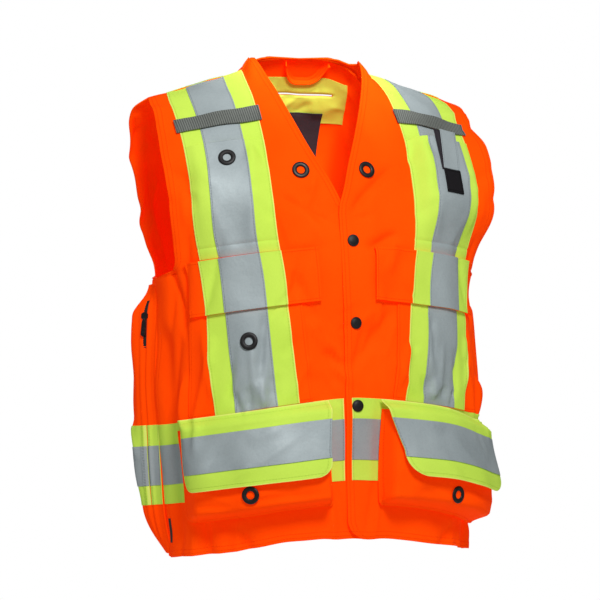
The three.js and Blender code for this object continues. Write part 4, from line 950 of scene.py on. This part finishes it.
def bellows(hand):
    def at(a, h):
        x = np.abs(a)
        inner = smooth((x - POCKET_INNER) / POCKET_WALL)
        outer = smooth((POCKET_OUTER - x) / POCKET_WALL)
        bottom = smooth((h - POCKET_BOTTOM) / POCKET_WALL)
        up = smooth((h - FLAP_BOTTOM) / (POCKET_MOUTH - FLAP_BOTTOM))
        depth = POCKET_DEPTH * (1 - (1 - MOUTH_SHARE) * up)
        return RIM + (depth + creased(POCKET_CREASES[hand], x, h)) * inner * outer * bottom
    return at


def hanging(hand):
    def at(a, h):
        down = (WAIST_TOP - h) / (WAIST_TOP - FLAP_BOTTOM)
        mouth = RIM + 2.4 + 0.3 + POCKET_DEPTH * MOUTH_SHARE * smooth(down * 7)
        low = POCKET_DEPTH * (1 - MOUTH_SHARE) * smooth((down - 0.1) / 0.8) + FLAP_FLARE[hand] * down**2
        return mouth + low + (0.8 + creased(FLAP_CREASES[hand], np.abs(a), h)) * smooth(down * 3)
    return at


def rounded(value, low, radius, sign):
    """A side boundary whose lower corner is rounded."""
    def at(h):
        over = np.clip((low + radius - h) / radius, 0, 1)
        return (value(h) if callable(value) else value) + sign * radius * (1 - np.sqrt(1 - over**2))
    return at


def slanting(top, more):
    """A side boundary of a hem flap, which moves by more from its top to its corner."""
    return lambda h: top + more * np.clip((WAIST_TOP - h) / (WAIST_TOP - FLAP_BOTTOM - 30), 0, 1)


for hand_name, hand in HANDS:
    at, full, drop = pocket_at(hand), bellows(hand), hanging(hand)
    panel = f"front_{hand_name}_cloth"
    rows = fine(POCKET_BOTTOM, POCKET_MOUTH, 3, [POCKET_BOTTOM + 2, POCKET_BOTTOM + 8])
    inner, outer = rounded(POCKET_INNER, POCKET_BOTTOM, 8, 1), rounded(POCKET_OUTER, POCKET_BOTTOM, 16, -1)
    sheet(f"hem_pocket_{hand_name}_cloth", "front", hand, inner, outer, rows, fine(0, 192, 3), full,
          lift(full, 1.6), ORANGE_POCKET, at=at, on=[panel], held="hung", flat=(0.25, 0.15))
    inner = rounded(slanting(FLAP_INNER[hand], FLAP_SLANT[hand]), FLAP_BOTTOM, FLAP_CORNER[hand], 1)
    outer = rounded(slanting(FLAP_OUTER[hand], FLAP_SPREAD[hand]), FLAP_BOTTOM, FLAP_CORNER[hand], -1)
    rows = fine(FLAP_BOTTOM, WAIST_TOP, 3, [FLAP_BOTTOM + 0.7, FLAP_BOTTOM + 2.5, FLAP_BOTTOM + 5])
    sheet(f"hem_flap_{hand_name}_cloth", "front", hand, inner, outer, rows, fine(0, 200, 3), drop,
          lift(drop, 1.2), LIME_FLAP, at=at, roll=0.4, roll_width=2.2, on=[panel], held="hung")
    sheet(f"hem_flap_silver_{hand_name}_cloth", "front", hand, inner, outer, fine(*FLAP_BAND, 3),
          fine(0, 200, 3), lift(drop, 1.7), lift(drop, 2.2), SILVER, at=at, on=[f"hem_flap_{hand_name}_cloth"])

# Pouch across the back, with its tape and zips: across runs to 100 near the side seams, and on to the seams
SEAM_U, ZIP_U, ZIP_HALF, TAPE_END_U, RIM_START_U = 101.9, 96.5, 0.38, 96.35, 96.65
# The zip's two lips: places across, width and height
LIPS, LIP_WIDTH, LIP_HEIGHT = (95.5, 97.5), 0.5, 2.6


def pouch_measure(u, h):
    return u / 100 * (seam_at("back", h) - RIM_INSET)


def pouch_at(u, h, d):
    return INNER(pouch_measure(u, h), h, d)


def pouch(u, h):
    x = np.abs(u)
    bottom = np.sin(math.pi / 2 * np.clip((h - POUCH_BOTTOM) / 66, 0, 1))
    swell = POUCH_DEPTH * smooth((100 - x) / 8) * bottom * smooth((POUCH_TOP - h) / 40)
    along = smooth((h - POUCH_BOTTOM - 8) / 20) * smooth((POUCH_TOP - 12 - h) / 14)
    lips = sum(LIP_HEIGHT * np.exp(-(((x - place) / LIP_WIDTH) ** 2)) for place in LIPS)
    return 0.2 + 1.3 * smooth((SEAM_U - x) / 3) + swell + lips * along


def pouch_top(u, h):
    """Outer face of the pouch's cloth, which thins towards the side seams."""
    return pouch(u, h) + 0.5 + 1.9 * smooth((SEAM_U - np.abs(u)) / 3)


def pouch_columns(end):
    outer = fine(90, end, 0.45)
    return np.concatenate([-outer[::-1], fine(-90, 90, 1.6)[1:-1], outer])


POUCH = {"at": pouch_at, "measure": pouch_measure}
POUCH_WIDTH = 2 * (float(seam_at("back", 174)) + POUCH_DEPTH) / 1000
POUCH_LENGTH = (POUCH_TOP - POUCH_BOTTOM + POUCH_DEPTH) / 1000
TAPE_ROWS, BAND_ROWS = fine(WAIST_BOTTOM, WAIST_TOP, 3.6), fine(WAIST_SILVER_BOTTOM, WAIST_SILVER_TOP, 3.6)
sheet("back_pouch_cloth", "back", 0, -SEAM_U, SEAM_U, fine(POUCH_BOTTOM, POUCH_TOP, 4), pouch_columns(SEAM_U),
      pouch, pouch_top, ORANGE_POCKET, on=["back_cloth"], held="hung", flat=(POUCH_WIDTH, POUCH_LENGTH), **POUCH)


def pouch_tape(part, hand, start, end, columns, width=None):
    """A tape around the pouch, and the silver strip on it."""
    tape = f"waist_tape_{part}_cloth"
    for name, under, rows, low, high, material, tall in (
        (tape, "back_pouch_cloth", TAPE_ROWS, 0.2, 0.9, LIME, TAPE_WIDTH),
        (f"waist_silver_{part}_cloth", tape, BAND_ROWS, 1.1, 1.6, SILVER, SILVER_WIDTH),
    ):
        flat = (width, tall / 1000) if width else None
        sheet(name, "back", hand, start, end, rows, columns, lift(pouch_top, low), lift(pouch_top, high),
              material, on=[under], flat=flat, **POUCH)


pouch_tape("back", 0, -TAPE_END_U, TAPE_END_U, pouch_columns(TAPE_END_U), POUCH_WIDTH)
for hand_name, hand in HANDS:
    pouch_tape(f"rim_{hand_name}", hand, RIM_START_U, SEAM_U, fine(RIM_START_U, SEAM_U, 0.4))


def teeth(u, h):
    return pouch(u, h) + 2.9 + 0.6 * (np.sin(h * 2.1) > 0) - 2.6 * smooth((POUCH_TOP - 70 - h) / 20)


for hand_name, hand in HANDS:
    sheet(f"pouch_zip_{hand_name}_strip", "back", hand, ZIP_U - ZIP_HALF, ZIP_U + ZIP_HALF,
          fine(POUCH_BOTTOM + 15, POUCH_TOP - 20, 1.4), fine(0, 1, 0.2), lift(teeth, -1.2), teeth, ZIP_BLACK,
          **POUCH)
    rows = fine(POUCH_TOP + 8, BACK_TOP, 3.6)
    tape = f"back_tape_{hand_name}_cloth"
    sheet(tape, "back", hand, *WIDE, rows, TAPE_COLUMNS, *TAPE, LIME, at=INNER, on=["back_cloth"], **BOUND)
    sheet(f"back_silver_{hand_name}_cloth", "back", hand, *NARROW, rows, SILVER_COLUMNS, *STRIP, SILVER,
          at=INNER, on=[tape])


def tag_out(h):
    return seam_at("front", h) - 5.5


# A bare tag in the wearer's right side seam
sheet("side_tag_cloth", "front", -1, lambda h: tag_out(h) - 5, tag_out, fine(20, 53, 2.5), fine(0, 5, 1),
      0.4, 1.0, TAG, on=["front_right_cloth"], held="hung", flat=(0.01, 0.033), area=0.00018)


# Small hardware
def turned(name, profile, sides, frame_matrix, material):
    """A turned part from rows of radius and height, closed on itself or on its axis."""
    points, faces, n = [], [], len(profile)
    for i in range(sides):
        angle = i * 2 * math.pi / sides
        points += [(r * math.cos(angle), r * math.sin(angle), z) for r, z in profile]
    for i in range(sides):
        j = (i + 1) % sides
        faces += [(i * n + k, j * n + k, j * n + (k + 1) % n, i * n + (k + 1) % n) for k in range(n)]
    points = [tuple(frame_matrix @ Vector(p)) for p in points]
    obj = finish_mesh(name, points, faces, None, None, material)
    mesh = bmesh.new()
    mesh.from_mesh(obj.data)
    bmesh.ops.remove_doubles(mesh, verts=mesh.verts, dist=1e-6)
    bmesh.ops.recalc_face_normals(mesh, faces=mesh.faces)
    mesh.to_mesh(obj.data)
    mesh.free()


def seat(at, a, h, d):
    """Frame of a part that stands d outside the cloth at a and h."""
    def point(x, y):
        return at(np.array([x]), np.array([y]), np.array([float(d)]))[0]

    across = point(a + 3.0, h) - point(a - 3.0, h)
    up = point(a, h + 3) - point(a, h - 3)
    across /= np.linalg.norm(across)
    out = np.cross(across, up)
    out /= np.linalg.norm(out)
    level_way = np.cross(out, across)
    return Matrix([[across[k], level_way[k], out[k], point(a, h)[k]] for k in range(3)] + [[0, 0, 0, 1]])


def snap_profile(size, height):
    r = size / 2
    return [
        (0, 0), (r, 0), (r, height * 0.35), (r * 0.96, height * 0.55), (r * 0.86, height * 0.72),
        (r * 0.8, height * 0.66), (r * 0.74, height * 0.74), (r * 0.5, height * 0.92),
        (r * 0.25, height), (0, height),
    ]


for i, step in enumerate((1, 0, -1)):
    h = SNAP_MIDDLE + step * SNAP_SPACING
    on = 1.3 if step < 0 else 0.3
    place = seat(cloth("front", 1), 3, h, on)
    turned(f"snap_{i + 1}_cap", snap_profile(SNAP_SIZE, SNAP_HEIGHT), 40, place, BLACK)

# A rolled eyelet with its barrel going down into the cloth
ring_middle, ring_half = (GROMMET_SIZE + GROMMET_HOLE) / 4, (GROMMET_SIZE - GROMMET_HOLE) / 4
ring = []
for k in range(16):
    angle = k * 2 * math.pi / 16
    up = max(-0.3, GROMMET_HEIGHT * (0.35 + 0.65 * math.sin(angle)))
    ring.append((ring_middle + ring_half * math.cos(angle), up))


def chest_top(a, h):
    return float(chest_face(CHEST_PUFF)(np.array(float(a)), np.array(float(h)))) + 1.1


def pocket_top(hand, a, h):
    return float(bellows(hand)(np.array(float(a)), np.array(float(h)))) + 1.9


GROMMETS = (
    ("chest_right", -1, TAPE_MIDDLE, 488, chest_top(TAPE_MIDDLE, 488), False),
    ("neck_right", -1, 37, 462, 0.2, False),
    ("neck_left", 1, 22, 460, 0.2, False),
    ("waist_right", -1, TAPE_MIDDLE, 258, 4.0, False),
    ("pocket_right", -1, 140, 72, pocket_top(-1, 140, 72), True),
    ("pocket_left", 1, 130, 66, pocket_top(1, 130, 66), True),
)
for place, hand, a, h, d, on_pocket in GROMMETS:
    at = pocket_at(hand) if on_pocket else cloth("front", hand)
    turned(f"grommet_{place}_ring", ring, 40, seat(at, a * hand, h, d), BLACK)

# Which piece stands for which solid, the flat size of each held piece, and the zip pulls' material
NODE_OF = {
    "front_right_cloth": "front_panel_right", "front_left_cloth": "front_panel_left",
    "back_cloth": "back_panel",
}
ADDED = {"radio_strap_edge_cloth", "side_tag_cloth"}
ADDED |= {f"waist_{kind}_rim_{hand_name}_cloth" for kind in ("tape", "silver") for hand_name, _ in HANDS}
for name, obj in PIECES.items():
    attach(obj, "root")
    if name not in ADDED:
        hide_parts(NODE_OF.get(name) or name.rsplit("_", 1)[0])
for name, (held, rests_on, flat, area) in HELD.items():
    obj = PIECES[name]
    width, length = flat or obj["flat"]
    if not flat:
        area = min(obj["flat_area"], width * length)
for hand_name, hand in HANDS:
    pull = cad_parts[f"zip_pull_{hand_name}"]
    pull.data.materials.clear()
    pull.data.materials.append(PULL_BLACK)


# Floor, light and camera
def added(name, data, place=(0, 0, 0), aim=None):
    """A new object in the scene, turned towards aim."""
    obj = bpy.data.objects.new(name, data)
    obj.location = place
    if aim:
        obj.rotation_euler = (Vector(aim) - Vector(place)).to_track_quat("-Z", "Y").to_euler()
    bpy.context.scene.collection.objects.link(obj)
    return obj


floor_mesh = bpy.data.meshes.new("floor")
floor_mesh.from_pydata([(-4, -4, 0), (4, -4, 0), (4, 4, 0), (-4, 4, 0)], [], [(0, 1, 2, 3)])
floor = added("floor", floor_mesh, (0, 0, -1.5))
floor_nodes = Nodes("floor_paper")
floor_nodes.shader.inputs["Base Color"].default_value = (0.93, 0.93, 0.93, 1)
floor_nodes.shader.inputs["Roughness"].default_value = 0.9
floor_mesh.materials.append(floor_nodes.material)

# Light from all around, which the camera sees as white
AMBIENT = 0.21
world = bpy.data.worlds.new("studio")
world.use_nodes = True
studio = world.node_tree
seen = studio.nodes.new("ShaderNodeLightPath")
strength = studio.nodes.new("ShaderNodeMapRange")
strength.inputs["To Min"].default_value = AMBIENT
strength.inputs["To Max"].default_value = 1.0
studio.links.new(seen.outputs["Is Camera Ray"], strength.inputs["Value"])
studio.nodes["Background"].inputs[0].default_value = (1, 1, 1, 1)
studio.links.new(strength.outputs[0], studio.nodes["Background"].inputs[1])
bpy.context.scene.world = world
bpy.context.scene.view_settings.view_transform = "Standard"

# Name, place, aim, size in metres and power of each soft light
SOFTBOXES = (
    ("key", (-0.25, -1.7, 0.8), (0, 0, -0.2), 0.55, 28.5),
    ("fill", (-2.3, -1.0, 0.2), (0, 0, -0.31), 1.2, 1.5),
    ("rear", (0.3, 2.4, 0.3), (0, 0.9, -1.2), 1.6, 34),
)
for name, place, aim, size, power in SOFTBOXES:
    light = bpy.data.lights.new(name, "AREA")
    light.shape, light.size, light.energy = "DISK", size, power
    added(name, light, place, aim)
spot = bpy.data.lights.new("collar", "SPOT")
spot.energy, spot.shadow_soft_size = 62, 0.08
spot.spot_size, spot.spot_blend = math.radians(17), 0.7
added("collar", spot, (0.1, -0.75, 0.75), (0.01, 0.09, -0.06))

# Camera at the photograph's angle
AZIMUTH, ELEVATION, ROLL = (math.radians(angle) for angle in (-20.18, -3.09, -1.52))
DISTANCE = 3.29181
camera_data = bpy.data.cameras.new("camera")
camera_data.sensor_width, camera_data.lens = 36.0, 116.33 * DISTANCE / 2.5
camera_data.shift_x, camera_data.shift_y = -10.48 / 600, -5.67 / 600
camera_data.clip_end = 200
camera = added("camera", camera_data)
flat_way = Vector((math.sin(AZIMUTH), -math.cos(AZIMUTH), 0))
back_way = Vector((*(flat_way * math.cos(ELEVATION)).xy, math.sin(ELEVATION)))
level_way = Vector((math.cos(AZIMUTH), math.sin(AZIMUTH), 0))
rise_way = back_way.cross(level_way)
right_way = level_way * math.cos(ROLL) + rise_way * math.sin(ROLL)
up_way = rise_way * math.cos(ROLL) - level_way * math.sin(ROLL)
eye = Vector((0, 0, 0.310 - ORIGIN_Z / 1000)) + back_way * DISTANCE
rows = [[way[k] for way in (right_way, up_way, back_way, eye)] for k in range(3)]
camera.matrix_world = Matrix([*rows, [0, 0, 0, 1]])
bpy.context.scene.camera = camera
